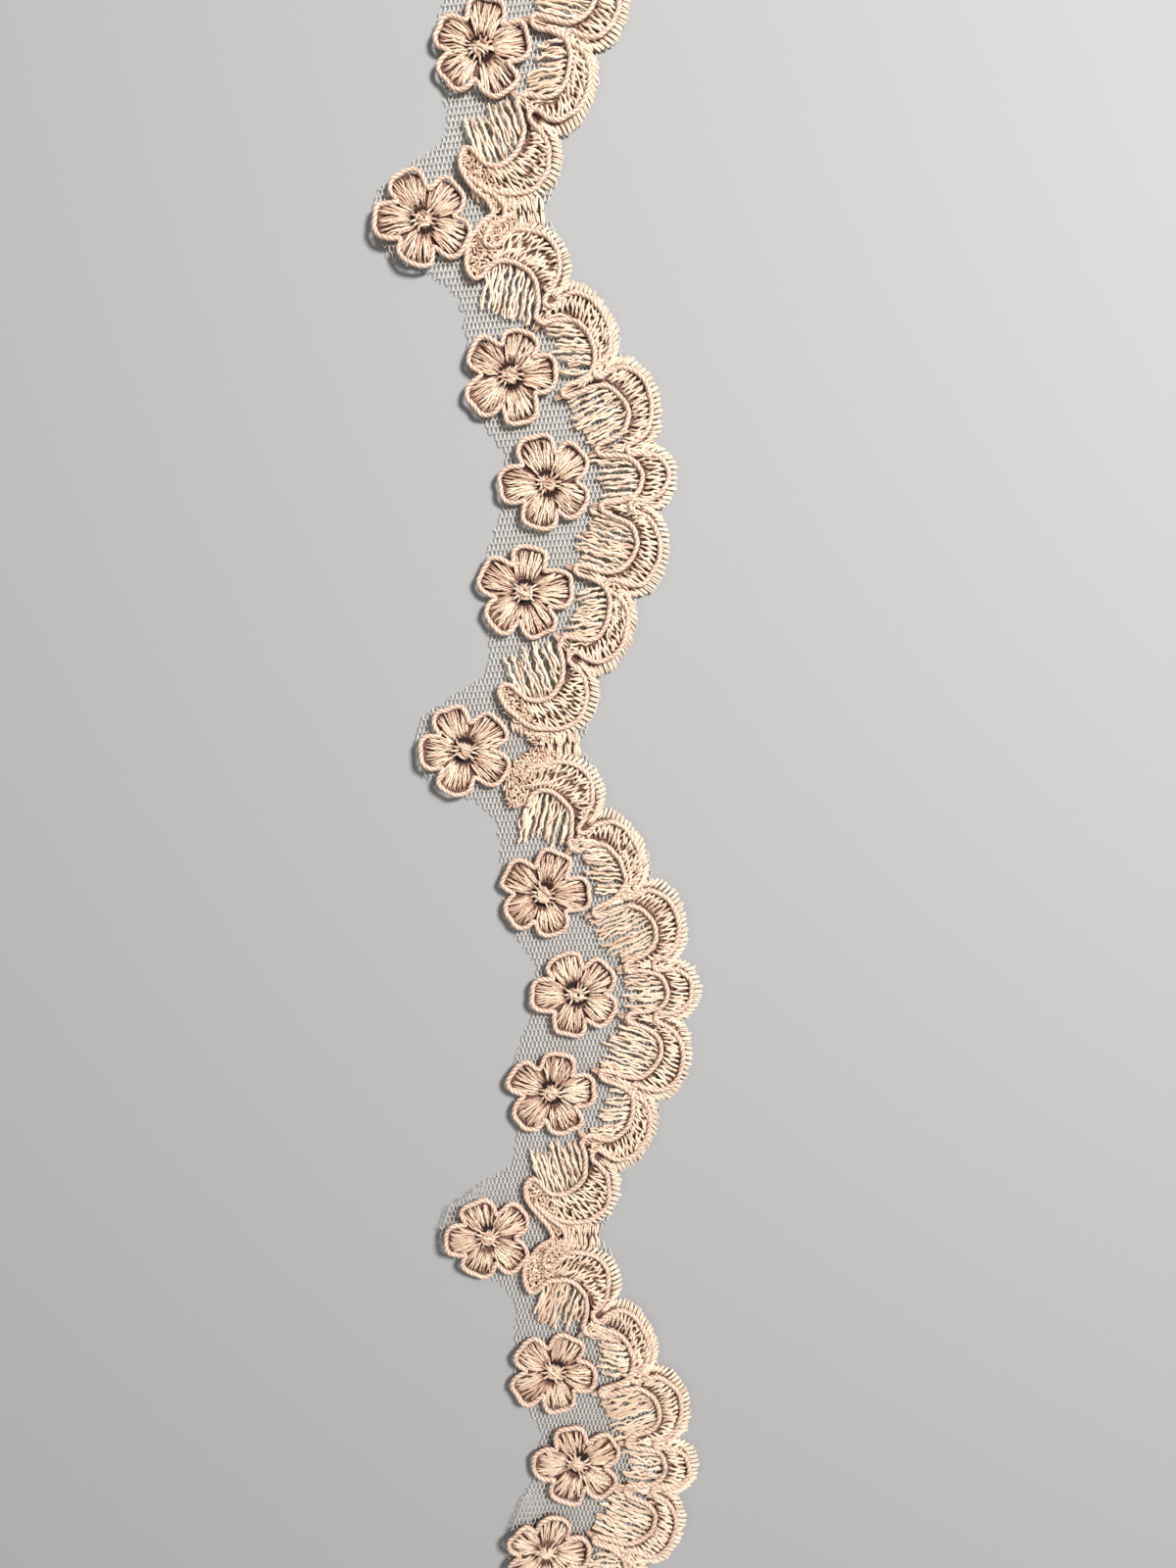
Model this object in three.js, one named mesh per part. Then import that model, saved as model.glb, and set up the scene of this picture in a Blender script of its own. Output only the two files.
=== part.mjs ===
// A cut length of scalloped lace edging: a net ground with corded, embroidered flowers and a border
// of fans. It lies face up on a flat surface, along Y, with its scallops towards +X. Millimetres.
import * as THREE from 'three';

// One scallop of the pattern runs from one valley flower to the next. Places in it are given as
// along, from the lower valley flower, and across, to the right of the line of valley flowers.
const repeatLength = 111;
const halfRepeat = repeatLength / 2;

// Heights of the layers. The embroidery clears the net by a hair's breadth.
const netThickness = 1.0;
const layerGap = 0.4;
const embroideryBase = netThickness + layerGap;
const satinHeight = 0.65;
const ribHeight = 0.2;
const cordHeight = 1.4;
const cordWidth = 1.2;

// The valley flowers, from the near end to the far end. Their line is the bend in which the trim
// lies, and it turns within bendHalf of each flower, where the border is narrow.
const valleys = [
  { x: -26.6, y: -211.6 },
  { x: -22.5, y: -103.5 },
  { x: -27.1, y: 7.6 },
  { x: -34.6, y: 119.6 },
  { x: -45.8, y: 230.0 },
];
const bendHalf = 12;

// Spots where the edge has risen off the surface, each as a soft bump around a place on the trim.
const lifts = [
  { repeat: 1, along: 7, across: -11, rise: 1.9, reach: 19 },
  { repeat: 0, along: 39, across: 4, rise: 1.8, reach: 18 },
  { repeat: 2, along: -7, across: -11, rise: 1.0, reach: 16 },
  { repeat: 3, along: -7, across: -10, rise: 1.2, reach: 17 },
];

// The cut edges of the net over one repeat, each a distance across.
const netEdges = [
  { along: 0, left: -11.2, right: 24.5 },
  { along: 3, left: -11.0, right: 27.6 },
  { along: 8, left: -8.8, right: 30.0 },
  { along: 12, left: -2.4, right: 30.2 },
  { along: 16, left: 5.4, right: 29.6 },
  { along: 19.5, left: 7.0, right: 36.0 },
  { along: 24, left: 7.1, right: 39.8 },
  { along: 28.5, left: 6.8, right: 40.2 },
  { along: 32.2, left: 6.8, right: 39.2 },
  { along: 36, left: 7.0, right: 45.2 },
  { along: 41, left: 7.6, right: 47.6 },
  { along: 45.5, left: 9.4, right: 47.4 },
  { along: 48.8, left: 11.0, right: 45.4 },
  { along: 51, left: 12.0, right: 48.6 },
  { along: 55.5, left: 12.4, right: 49.8 },
  { along: 60, left: 13.2, right: 48.6 },
  { along: 62.2, left: 13.6, right: 45.4 },
  { along: 65.5, left: 11.6, right: 47.4 },
  { along: 70, left: 8.2, right: 47.6 },
  { along: 75, left: 7.0, right: 45.2 },
  { along: 78.8, left: 6.8, right: 39.2 },
  { along: 82.5, left: 6.8, right: 40.2 },
  { along: 87, left: 6.8, right: 39.8 },
  { along: 91.5, left: 6.8, right: 36.0 },
  { along: 95, left: 6.0, right: 29.6 },
  { along: 99, left: 2.6, right: 30.2 },
  { along: 103, left: -6.4, right: 30.0 },
  { along: 108, left: -10.6, right: 27.6 },
];

// The net past the last valley flower at each end, where it is cut round the flower.
const endEdges = [
  { beyond: 1.5, left: -11.2, right: 17.0 },
  { beyond: 4.5, left: -11.0, right: 12.0 },
  { beyond: 8.5, left: -9.6, right: 11.0 },
  { beyond: 11, left: -7.2, right: 8.0 },
  { beyond: 12.6, left: -3.6, right: 4.0 },
];

// Where the columns of the net's faces lie between its left edge and its right edge.
const netColumns = [0, 0.1, 0.2, 0.32, 0.5, 1];

// The flowers of one repeat. petal is the direction of one petal, in degrees from straight across.
const valleyFlower = { name: 'flower_valley', along: 0, across: 0, petal: 180 };
const scallopFlowers = [
  { name: 'flower_low', along: 33, across: 15.6, petal: 4 },
  { name: 'flower_middle', along: 55.5, across: 22.2, petal: 180 },
  { name: 'flower_high', along: 78.3, across: 15.8, petal: -3 },
];
const petalCount = 5;
const pointsPerPetal = 5;
const petalTip = 11.2;
const petalNotch = 7.7;
const petalRoundness = 0.55;
const cleftLength = 1.8;
const eyeRadius = 2.5;
const knotRadius = 1.3;

// The underside of a flower has two rings inside its rim, where it bends with the net.
const undersideRadius = 2.8;
const undersideShare = 0.7;

// Half of the border, from the middle fan to the end fan. Each row ends at a corner of the outer
// cord (cusp) and a corner of the inner cord (tip), whose along is counted from the middle of the
// repeat. An arch's bulge is how far it stands out from the line between its corners, square is
// how boxy it is, from 1 for an ellipse down to 0, and lean shifts its crown away from the middle.
// combShort is how far the comb stitches inside an arch stop short of that line.
const fans = [
  {
    cusp: { across: 42.3, along: 6.2 }, cuspArch: { bulge: 5.8, square: 0.75, lean: 0 },
    tip: { across: 33.9, along: 5.8 }, tipArch: { bulge: 8.7, square: 0.5, lean: 0 }, combShort: 0.2,
  },
  {
    cusp: { across: 36.0, along: 23.0 }, cuspArch: { bulge: 6.6, square: 0.9, lean: 1.4 },
    tip: { across: 28.2, along: 18.7 }, tipArch: { bulge: 9.6, square: 0.5, lean: -0.6 }, combShort: -1.4,
  },
  {
    cusp: { across: 26.4, along: 38.3 }, cuspArch: { bulge: 6.2, square: 0.9, lean: 1.0 },
    tip: { across: 22.9, along: 33.3 }, tipArch: { bulge: 8.4, square: 0.5, lean: 0 }, combShort: 3.4,
  },
  {
    cusp: { across: 10.6, along: 49.4 }, cuspArch: { bulge: 9.2, square: 1.1, lean: -1.4 },
    tip: { across: 10.6, along: 36.8 }, tipArch: { bulge: 10.6, square: 0.45, lean: 1.8 }, combShort: 0.6,
  },
];
const combReach = 0.9;
const combRagged = 0.5;
const stationsPerFan = 10;
const picotLength = 2.3;
const picotRagged = 0.25;
const picotHeight = 0.5;
const bridgeGap = 0.15;

// In the notch at a cusp the picots are this share as long. At the foot of an arch the inner slope
// of its cord is turned into the fan by cordTurn.
const picotAtCusp = 0.75;
const cordTurn = 0.25;

const netMaterial = new THREE.MeshStandardMaterial({
  name: 'net', color: 0xcfc4b8, roughness: 0.85, metalness: 0,
});
const embroideryMaterial = new THREE.MeshStandardMaterial({
  name: 'embroidery', color: 0xd9a999, roughness: 0.6, metalness: 0,
});

// The line of valley flowers as straight runs, each with the distance along it at which it starts.
const runs = valleys.slice(1).map((end, i) => {
  const run = new THREE.Vector2(end.x - valleys[i].x, end.y - valleys[i].y);
  return { start: 0, length: run.length(), heading: run.normalize() };
});
for (let i = 1; i < runs.length; i += 1) {
  runs[i].start = runs[i - 1].start + runs[i - 1].length;
}

// A place on the line of valley flowers and its heading there, with the corners rounded off.
function spineAt(distance) {
  const point = new THREE.Vector2(valleys[0].x, valleys[0].y);
  const heading = runs[0].heading.clone();
  point.addScaledVector(heading, distance);
  for (let i = 1; i < runs.length; i += 1) {
    const turn = runs[i].heading.clone().sub(runs[i - 1].heading);
    const past = distance - runs[i].start;
    const into = THREE.MathUtils.clamp(past + bendHalf, 0, 2 * bendHalf);
    point.addScaledVector(turn, (into * into) / (4 * bendHalf) + Math.max(past - bendHalf, 0));
    heading.addScaledVector(turn, into / (2 * bendHalf));
  }
  return { point, heading: heading.normalize() };
}

// From a place in a repeat of the pattern to a place on the surface. The last valley flower and
// what lies past it count as one repeat more.
function onSurface(repeat, along, across) {
  const run = runs[Math.min(repeat, runs.length - 1)];
  const start = repeat < runs.length ? run.start : run.start + run.length;
  const { point, heading } = spineAt(start + (along * run.length) / repeatLength);
  return new THREE.Vector2(point.x + heading.y * across, point.y - heading.x * across);
}

const bumps = lifts.map(({ repeat, along, across, rise, reach }) => (
  { top: onSurface(repeat, along, across), rise, reach }
));

function liftAt(place) {
  return bumps.reduce((height, { top, rise, reach }) => {
    const share = Math.min(place.distanceTo(top) / reach, 1);
    return height + rise * (1 - share * share) ** 2;
  }, 0);
}

function raised(repeat, along, across, height) {
  const place = onSurface(repeat, along, across);
  return new THREE.Vector3(place.x, place.y, height + liftAt(place));
}

// A closed skin over a row of loops with equal numbers of points, each running clockwise as seen
// from the loop before it, and each four corners parted along the shorter diagonal. closeLoop
// gives the faces over a loop, turned towards that side.
function skin(loops, closeLoop) {
  const points = loops.flat();
  const size = loops[0].length;
  const last = points.length - size;
  const faces = [];
  for (let base = 0; base < last; base += size) {
    for (let j = 0; j < size; j += 1) {
      const here = base + j;
      const next = base + ((j + 1) % size);
      const rising = points[here].distanceTo(points[next + size]);
      const falling = points[next].distanceTo(points[here + size]);
      if (rising <= falling) {
        faces.push(here, next, next + size, here, next + size, here + size);
      } else {
        faces.push(here, next, here + size, next, next + size, here + size);
      }
    }
  }
  closeLoop(loops[0]).forEach(([a, b, c]) => faces.push(a, b, c));
  closeLoop(loops.at(-1)).forEach(([a, b, c]) => faces.push(last + a, last + c, last + b));
  const geometry = new THREE.BufferGeometry();
  const positions = points.flatMap((point) => point.toArray());
  geometry.setAttribute('position', new THREE.Float32BufferAttribute(positions, 3));
  geometry.setIndex(faces);
  geometry.computeVertexNormals();
  return geometry;
}

// Faces over an upright loop whose first half lies above its second half, point by point.
function closeByPairs(loop) {
  const opposite = (j) => loop.length - 1 - j;
  return loop.slice(1, loop.length / 2).flatMap((point, j) => [
    [j, opposite(j), opposite(j + 1)],
    [j, opposite(j + 1), j + 1],
  ]);
}

// Faces over an upright loop with fewer points below than above.
function closeUpright(loop) {
  const start = new THREE.Vector2(loop[0].x, loop[0].y);
  const flat = loop.map((point) => (
    new THREE.Vector2(start.distanceTo(new THREE.Vector2(point.x, point.y)), point.z)
  ));
  return THREE.ShapeUtils.triangulateShape(flat, []);
}

// Faces over a lying loop, which is seen from below.
function closeLying(loop) {
  return THREE.ShapeUtils.triangulateShape(loop.map(({ x, y }) => new THREE.Vector2(x, -y)), []);
}

// The net: a thin sheet between the two cut edges, in stations along the trim.
function netGeometry() {
  const atEnd = (repeat, sign) => endEdges.map(({ beyond, left, right }) => (
    { repeat, along: sign * beyond, left, right }
  ));
  const stations = [
    ...atEnd(0, -1).reverse(),
    ...runs.flatMap((run, repeat) => netEdges.map((row) => ({ repeat, ...row }))),
    { repeat: runs.length, ...netEdges[0] },
    ...atEnd(runs.length, 1),
  ];
  const layer = ({ repeat, along, left, right }, height) => netColumns.map((share) => (
    raised(repeat, along, THREE.MathUtils.lerp(left, right, share), height)
  ));
  const loops = stations.map((station) => [
    ...layer(station, netThickness),
    ...layer(station, 0).reverse(),
  ]);
  return skin(loops, closeByPairs);
}

// A flower: five round petals with a raised cord round them, sewn ribs, and a knot in its eye.
function flowerGeometry(repeat, flower) {
  const petalAngle = (2 * Math.PI) / petalCount;
  const directions = Array.from({ length: petalCount * pointsPerPetal }, (_, i) => {
    const place = (i % pointsPerPetal) / pointsPerPetal;
    const outward = Math.sin(place * Math.PI) ** petalRoundness;
    return {
      angle: THREE.MathUtils.degToRad(flower.petal) + (i / pointsPerPetal - 0.5) * petalAngle,
      rim: petalNotch + (petalTip - petalNotch) * outward,
      cleft: place === 0 ? cleftLength : 0,
      rib: i % 2 === 0 ? 0 : ribHeight,
    };
  });
  const ring = (radiusOf, heightOf) => directions.map((direction) => {
    const radius = radiusOf(direction);
    return raised(
      repeat,
      flower.along + radius * Math.sin(direction.angle),
      flower.across + radius * Math.cos(direction.angle),
      embroideryBase + heightOf(direction),
    );
  });
  return skin([
    ring(() => undersideRadius, () => 0),
    ring(({ rim }) => rim * undersideShare, () => 0),
    ring(({ rim }) => rim, () => 0),
    ring(({ rim }) => rim, () => satinHeight),
    ring(({ rim }) => rim - cordWidth / 2, () => cordHeight),
    ring(({ rim, cleft }) => rim - cordWidth - cleft, ({ rib }) => satinHeight + rib),
    ring(() => eyeRadius, ({ rib }) => satinHeight + rib),
    ring(() => knotRadius, () => cordHeight),
  ], closeLying);
}

// All corners of one kind, cusps or tips, up one side of the middle of the repeat and down the other.
function cornersOf(kind) {
  const upper = fans.map((fan) => fan[kind]);
  const place = ({ across, along }, side) => new THREE.Vector2(across, halfRepeat + side * along);
  const below = upper.map((corner) => place(corner, -1)).reverse();
  return [...below, ...upper.map((corner) => place(corner, 1))];
}

// A point on the arch from one corner to the next, at a turn from 0 to pi. side is 1 where the
// middle of the repeat lies behind the first corner, -1 where it lies ahead, and 0 on the middle fan.
function onArch(from, to, arch, side, turn) {
  const chord = to.clone().sub(from);
  const outward = new THREE.Vector2(chord.y, -chord.x).normalize();
  const forward = chord.clone().normalize();
  return from.clone()
    .addScaledVector(chord, (1 - Math.cos(turn)) / 2)
    .addScaledVector(forward, side * arch.lean * Math.sin(turn))
    .addScaledVector(outward, arch.bulge * Math.sin(turn) ** arch.square);
}

// One repeat of the border: seven fans in one strip, with a raised outer and inner cord, the picot
// edge outside them, and the comb stitches, as ribs, inside them. Its sections run from the comb to
// the picots, and near a corner they turn with that corner, so that no two of them cross.
function borderGeometry(repeat) {
  const cusps = cornersOf('cusp');
  const tips = cornersOf('tip');
  const fanCount = cusps.length - 1;
  const stationCount = fanCount * stationsPerFan;
  const inwards = tips.slice(1).map((tip, i) => {
    const chord = tip.clone().sub(tips[i]);
    return new THREE.Vector2(-chord.y, chord.x).normalize();
  });

  const stations = Array.from({ length: stationCount + 1 }, (_, station) => {
    const index = Math.min(Math.floor(station / stationsPerFan), fanCount - 1);
    const turn = Math.PI * (station / stationsPerFan - index);
    const side = Math.sign(index - (fanCount - 1) / 2);
    const fan = fans[Math.abs(index - (fanCount - 1) / 2)];
    return {
      index,
      turn,
      fan,
      odd: station % 2,
      atTip: station % stationsPerFan === 0 && station > 0 && station < stationCount,
      outer: onArch(cusps[index], cusps[index + 1], fan.cuspArch, side, turn),
      inner: onArch(tips[index], tips[index + 1], fan.tipArch, side, turn),
    };
  });

  const half = cordWidth / 2;
  const between = (i, cord) => stations[i - 1][cord].clone().lerp(stations[i + 1][cord], 0.5);
  const cornerDirections = cusps.map((cusp, i) => {
    const atEnd = i === 0 || i === fanCount;
    const out = atEnd ? cusp.clone().sub(tips[i]) : between(i * stationsPerFan, 'outer').sub(cusp);
    return out.normalize();
  });
  const loops = stations.map(({ index, turn, fan, odd, atTip, outer, inner }, i) => {
    const inward = inwards[index].clone();
    if (atTip) inward.add(inwards[index - 1]).normalize();
    const combEnd = tips[index].clone()
      .lerp(tips[index + 1], (1 - Math.cos(turn)) / 2)
      .addScaledVector(inward, combReach - (fan.combShort + combRagged * odd) * Math.sin(turn));
    const intoFan = tips[index + 1].clone().sub(tips[index]).normalize();
    const toComb = combEnd.clone().sub(inner).normalize()
      .addScaledVector(intoFan, atTip ? 0 : cordTurn * Math.cos(turn)).normalize();

    const nearCorner = cornerDirections[turn < Math.PI / 2 ? index : index + 1];
    const outward = outer.clone().sub(inner).normalize()
      .lerp(nearCorner, 1 - Math.sin(turn)).normalize();
    const bandFoot = atTip
      ? between(i, 'inner')
      : inner.clone().addScaledVector(outward, half);
    const picot = (picotLength - picotRagged * odd) * (atTip ? picotAtCusp : 1);
    const picotEnd = outer.clone().addScaledVector(outward, picot);
    picotEnd.y = THREE.MathUtils.clamp(picotEnd.y, bridgeGap, repeatLength - bridgeGap);

    const rib = ribHeight * odd;
    const profile = [
      { at: combEnd, height: picotHeight + rib },
      { at: inner.clone().addScaledVector(toComb, half), height: satinHeight + rib },
      { at: inner, height: cordHeight },
      { at: bandFoot, height: satinHeight },
      { at: outer.clone().addScaledVector(outward, -half), height: satinHeight },
      { at: outer, height: cordHeight },
      { at: outer.clone().addScaledVector(outward, half), height: satinHeight },
      { at: picotEnd, height: picotHeight + rib },
      ...[picotEnd, outer, bandFoot, inner, combEnd].map((at) => ({ at, height: 0 })),
    ];
    return profile.map(({ at, height }) => raised(repeat, at.y, at.x, embroideryBase + height));
  });
  return skin(loops, closeUpright);
}

const trim = new THREE.Group();

function add(name, geometry, material) {
  const mesh = new THREE.Mesh(geometry, material);
  mesh.name = name;
  trim.add(mesh);
}

add('net_ground', netGeometry(), netMaterial);
for (let repeat = 0; repeat <= runs.length; repeat += 1) {
  const count = repeat + 1;
  add(`${valleyFlower.name}_${count}`, flowerGeometry(repeat, valleyFlower), embroideryMaterial);
  if (repeat < runs.length) {
    add(`border_${count}`, borderGeometry(repeat), embroideryMaterial);
    scallopFlowers.forEach((flower) => {
      add(`${flower.name}_${count}`, flowerGeometry(repeat, flower), embroideryMaterial);
    });
  }
}

// The origin is the middle of the footprint, on the surface.
const box = new THREE.Box3().setFromObject(trim);
const centre = box.getCenter(new THREE.Vector3());
trim.position.set(-centre.x, -centre.y, -box.min.z);

export default trim;
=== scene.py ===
"""A cut length of scalloped lace edging: embroidered flowers and a border of fans on a tulle net.

Sizes are in millimetres unless a name says otherwise. Places in one repeat of the pattern are
given as along, from its lower valley flower, and across, to the right of the line of flowers.
"""

import math
import random

import bpy
import numpy
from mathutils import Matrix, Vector


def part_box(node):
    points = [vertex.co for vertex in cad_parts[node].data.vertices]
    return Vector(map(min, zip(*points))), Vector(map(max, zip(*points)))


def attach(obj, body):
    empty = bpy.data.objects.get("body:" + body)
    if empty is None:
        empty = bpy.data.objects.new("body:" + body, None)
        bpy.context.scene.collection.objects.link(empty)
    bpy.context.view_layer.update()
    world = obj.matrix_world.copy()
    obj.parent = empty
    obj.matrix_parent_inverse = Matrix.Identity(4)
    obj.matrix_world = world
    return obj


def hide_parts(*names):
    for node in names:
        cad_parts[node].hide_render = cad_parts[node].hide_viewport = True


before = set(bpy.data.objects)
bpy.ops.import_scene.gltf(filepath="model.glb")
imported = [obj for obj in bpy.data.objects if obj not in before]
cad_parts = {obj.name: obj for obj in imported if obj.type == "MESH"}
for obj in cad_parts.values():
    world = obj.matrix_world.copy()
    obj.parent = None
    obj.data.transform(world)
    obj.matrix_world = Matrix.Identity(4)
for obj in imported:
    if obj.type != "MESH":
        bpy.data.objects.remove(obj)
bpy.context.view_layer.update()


# NET GROUND
# A fine tulle of six-sided meshes in ivory polyester. The machine embroiders on it, and it is cut
# out round the flowers afterwards, which leaves short ends of thread along its edge.

MM = 0.001
REPEAT = 111.0
VALLEYS = ((-26.6, -211.6), (-22.5, -103.5), (-27.1, 7.6), (-34.6, 119.6), (-45.8, 230.0))
BEND_HALF = 12.0
LIFTS = (
    # repeat, along, across, rise, reach
    (1, 7.0, -11.0, 1.9, 19.0),
    (0, 39.0, 4.0, 1.8, 18.0),
    (2, -7.0, -11.0, 1.0, 16.0),
    (3, -7.0, -10.0, 1.2, 17.0),
)
NET_EDGES = (
    # along, left, right
    (0.0, -11.2, 24.5), (3.0, -11.0, 27.6), (8.0, -8.8, 30.0), (12.0, -2.4, 30.2),
    (16.0, 5.4, 29.6), (19.5, 7.0, 36.0), (24.0, 7.1, 39.8), (28.5, 6.8, 40.2),
    (32.2, 6.8, 39.2), (36.0, 7.0, 45.2), (41.0, 7.6, 47.6), (45.5, 9.4, 47.4),
    (48.8, 11.0, 45.4), (51.0, 12.0, 48.6), (55.5, 12.4, 49.8), (60.0, 13.2, 48.6),
    (62.2, 13.6, 45.4), (65.5, 11.6, 47.4), (70.0, 8.2, 47.6), (75.0, 7.0, 45.2),
    (78.8, 6.8, 39.2), (82.5, 6.8, 40.2), (87.0, 6.8, 39.8), (91.5, 6.8, 36.0),
    (95.0, 6.0, 29.6), (99.0, 2.6, 30.2), (103.0, -6.4, 30.0), (108.0, -10.6, 27.6),
)
END_EDGES = (
    # beyond the last flower, left, right
    (1.5, -11.2, 17.0), (4.5, -11.0, 12.0), (8.5, -9.6, 11.0), (11.0, -7.2, 8.0),
    (12.6, -3.6, 4.0),
)

runs = []
for lower, upper in zip(VALLEYS, VALLEYS[1:]):
    step = Vector(upper) - Vector(lower)
    start = runs[-1]["start"] + runs[-1]["length"] if runs else 0.0
    runs.append({"start": start, "length": step.length, "heading": step.normalized()})


def spine_at(distance):
    """A place on the line of valley flowers and its heading there."""
    heading = runs[0]["heading"].copy()
    point = Vector(VALLEYS[0]) + heading * distance
    for before, run in zip(runs, runs[1:]):
        turn = run["heading"] - before["heading"]
        past = distance - run["start"]
        into = min(max(past + BEND_HALF, 0.0), 2 * BEND_HALF)
        point += turn * (into * into / (4 * BEND_HALF) + max(past - BEND_HALF, 0.0))
        heading += turn * (into / (2 * BEND_HALF))
    return point, heading.normalized()


def on_surface(repeat, along, across):
    """From a place in a repeat of the pattern to a place on the table, before it is centred."""
    run = runs[min(repeat, len(runs) - 1)]
    start = run["start"] if repeat < len(runs) else run["start"] + run["length"]
    point, heading = spine_at(start + along * run["length"] / REPEAT)
    return Vector((point.x + heading.y * across, point.y - heading.x * across))


bumps = [
    (on_surface(repeat, along, across), rise, reach)
    for repeat, along, across, rise, reach in LIFTS
]


def lift_at(place):
    """How far the edge has risen off the table at a place."""
    lift = 0.0
    for top, rise, reach in bumps:
        share = min((place - top).length / reach, 1.0)
        lift += rise * (1 - share * share) ** 2
    return lift


net_rows = [(0, -beyond, left, right) for beyond, left, right in reversed(END_EDGES)]
for repeat in range(len(runs)):
    net_rows += [(repeat, along, left, right) for along, left, right in NET_EDGES]
net_rows.append((len(runs), *NET_EDGES[0]))
net_rows += [(len(runs), beyond, left, right) for beyond, left, right in END_EDGES]

net_rim = [on_surface(repeat, along, side) for repeat, along, *sides in net_rows for side in sides]
net_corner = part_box("net_ground")[0] / MM
shift = Vector((
    net_corner.x - min(place.x for place in net_rim),
    net_corner.y - min(place.y for place in net_rim),
))


def placed(repeat, along, across, height):
    """A place in a repeat, at a height over the table, as a point of the scene in metres."""
    place = on_surface(repeat, along, across)
    spot = place + shift
    return Vector((spot.x, spot.y, height + lift_at(place))) * MM


def node_tree(name, inputs):
    """An empty geometry tree with named inputs, given as (label, socket type, value)."""
    tree = bpy.data.node_groups.new(name, "GeometryNodeTree")
    face = tree.interface
    face.new_socket("Geometry", in_out="INPUT", socket_type="NodeSocketGeometry")
    for label, kind, value in inputs:
        socket = face.new_socket(label, in_out="INPUT", socket_type=kind)
        if value is not None:
            socket.default_value = value
    face.new_socket("Geometry", in_out="OUTPUT", socket_type="NodeSocketGeometry")
    return tree


def node(tree, kind, settings=None, **feeds):
    """A node with its properties set, and its sockets fed by a value or by another socket."""
    made = tree.nodes.new(kind)
    for key, value in (settings or {}).items():
        setattr(made, key, value)
    for label, feed in feeds.items():
        socket = made.inputs[int(label[1:])] if label[1:].isdigit() else made.inputs[label]
        if isinstance(feed, bpy.types.NodeSocket):
            tree.links.new(feed, socket)
        else:
            socket.default_value = feed
    return made


def sums(tree, operation, *feeds):
    """The result of one Math node."""
    labels = {f"_{i}": feed for i, feed in enumerate(feeds)}
    return node(tree, "ShaderNodeMath", {"operation": operation}, **labels).outputs[0]


def finish_tree(tree, mesh, along, thread, material):
    """Ends a tree: the thread's own map, smooth shading, real meshes and the material."""
    place = node(tree, "ShaderNodeCombineXYZ", _0=along, _1=thread).outputs[0]
    mapped = node(
        tree, "GeometryNodeStoreNamedAttribute",
        {"data_type": "FLOAT2", "domain": "CORNER"},
        Geometry=mesh, Name="OFBake", Value=place,
    ).outputs[0]
    smooth = node(tree, "GeometryNodeSetShadeSmooth", Geometry=mapped).outputs[0]
    real = node(tree, "GeometryNodeRealizeInstances", Geometry=smooth).outputs[0]
    done = node(tree, "GeometryNodeSetMaterial", Geometry=real, Material=material).outputs[0]
    node(tree, "NodeGroupOutput", Geometry=done)


def grown(name, source, tree, settings):
    """The object that a tree makes from a source mesh, as a plain mesh with no modifier left."""
    made = bpy.data.objects.new(name, source)
    bpy.context.scene.collection.objects.link(made)
    modifier = made.modifiers.new(tree.name, "NODES")
    modifier.node_group = tree
    for item in tree.interface.items_tree:
        if item.in_out == "INPUT" and item.name in settings:
            modifier[item.identifier] = settings[item.name]
    whole = made.evaluated_get(bpy.context.evaluated_depsgraph_get())
    mesh = bpy.data.meshes.new_from_object(whole)
    made.modifiers.clear()
    made.data = mesh
    mesh.name = name
    bpy.data.meshes.remove(source)
    return made


def captured(tree, geometry, value):
    """A value kept on the geometry's points, so that the mesh made from it still has it."""
    keep = tree.nodes.new("GeometryNodeCaptureAttribute")
    keep.capture_items.new("FLOAT", "Kept")
    tree.links.new(geometry, keep.inputs[0])
    tree.links.new(value, keep.inputs[1])
    return keep.outputs[0], keep.outputs[1]


def tulle_tree():
    """Edges of a mesh as open threads, each with a slightly different thickness."""
    tree = node_tree("Tulle threads", (
        ("Radius", "NodeSocketFloat", 0.0001),
        ("Unevenness", "NodeSocketFloat", 0.15),
        ("Sides", "NodeSocketInt", 3),
        ("Seed", "NodeSocketInt", 1),
        ("Material", "NodeSocketMaterial", None),
    ))
    start = tree.nodes.new("NodeGroupInput").outputs
    curve = node(tree, "GeometryNodeMeshToCurve", Mesh=start["Geometry"]).outputs[0]
    along = tree.nodes.new("GeometryNodeSplineParameter").outputs["Factor"]
    curve, along = captured(tree, curve, along)
    low = sums(tree, "SUBTRACT", 1.0, start["Unevenness"])
    high = sums(tree, "ADD", 1.0, start["Unevenness"])
    chance = node(tree, "FunctionNodeRandomValue", {"data_type": "FLOAT"}, Seed=start["Seed"])
    tree.links.new(low, chance.inputs[2])
    tree.links.new(high, chance.inputs[3])
    curve, share = captured(tree, curve, chance.outputs[1])
    ring = node(
        tree, "GeometryNodeCurvePrimitiveCircle",
        Resolution=start["Sides"], Radius=start["Radius"],
    ).outputs[0]
    tube = node(tree, "GeometryNodeCurveToMesh", _0=curve, _1=ring, _2=share).outputs[0]
    finish_tree(tree, tube, along, sums(tree, "FRACT", sums(tree, "MULTIPLY", share, 37.0)),
                start["Material"])
    return tree


def principled(name, slots):
    """A new material with its Principled shader's own sockets set."""
    material = bpy.data.materials.new(name)
    material.use_nodes = True
    shader = material.node_tree.nodes["Principled BSDF"]
    for label, value in slots.items():
        shader.inputs[label].default_value = value
    return material, material.node_tree, shader


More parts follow.
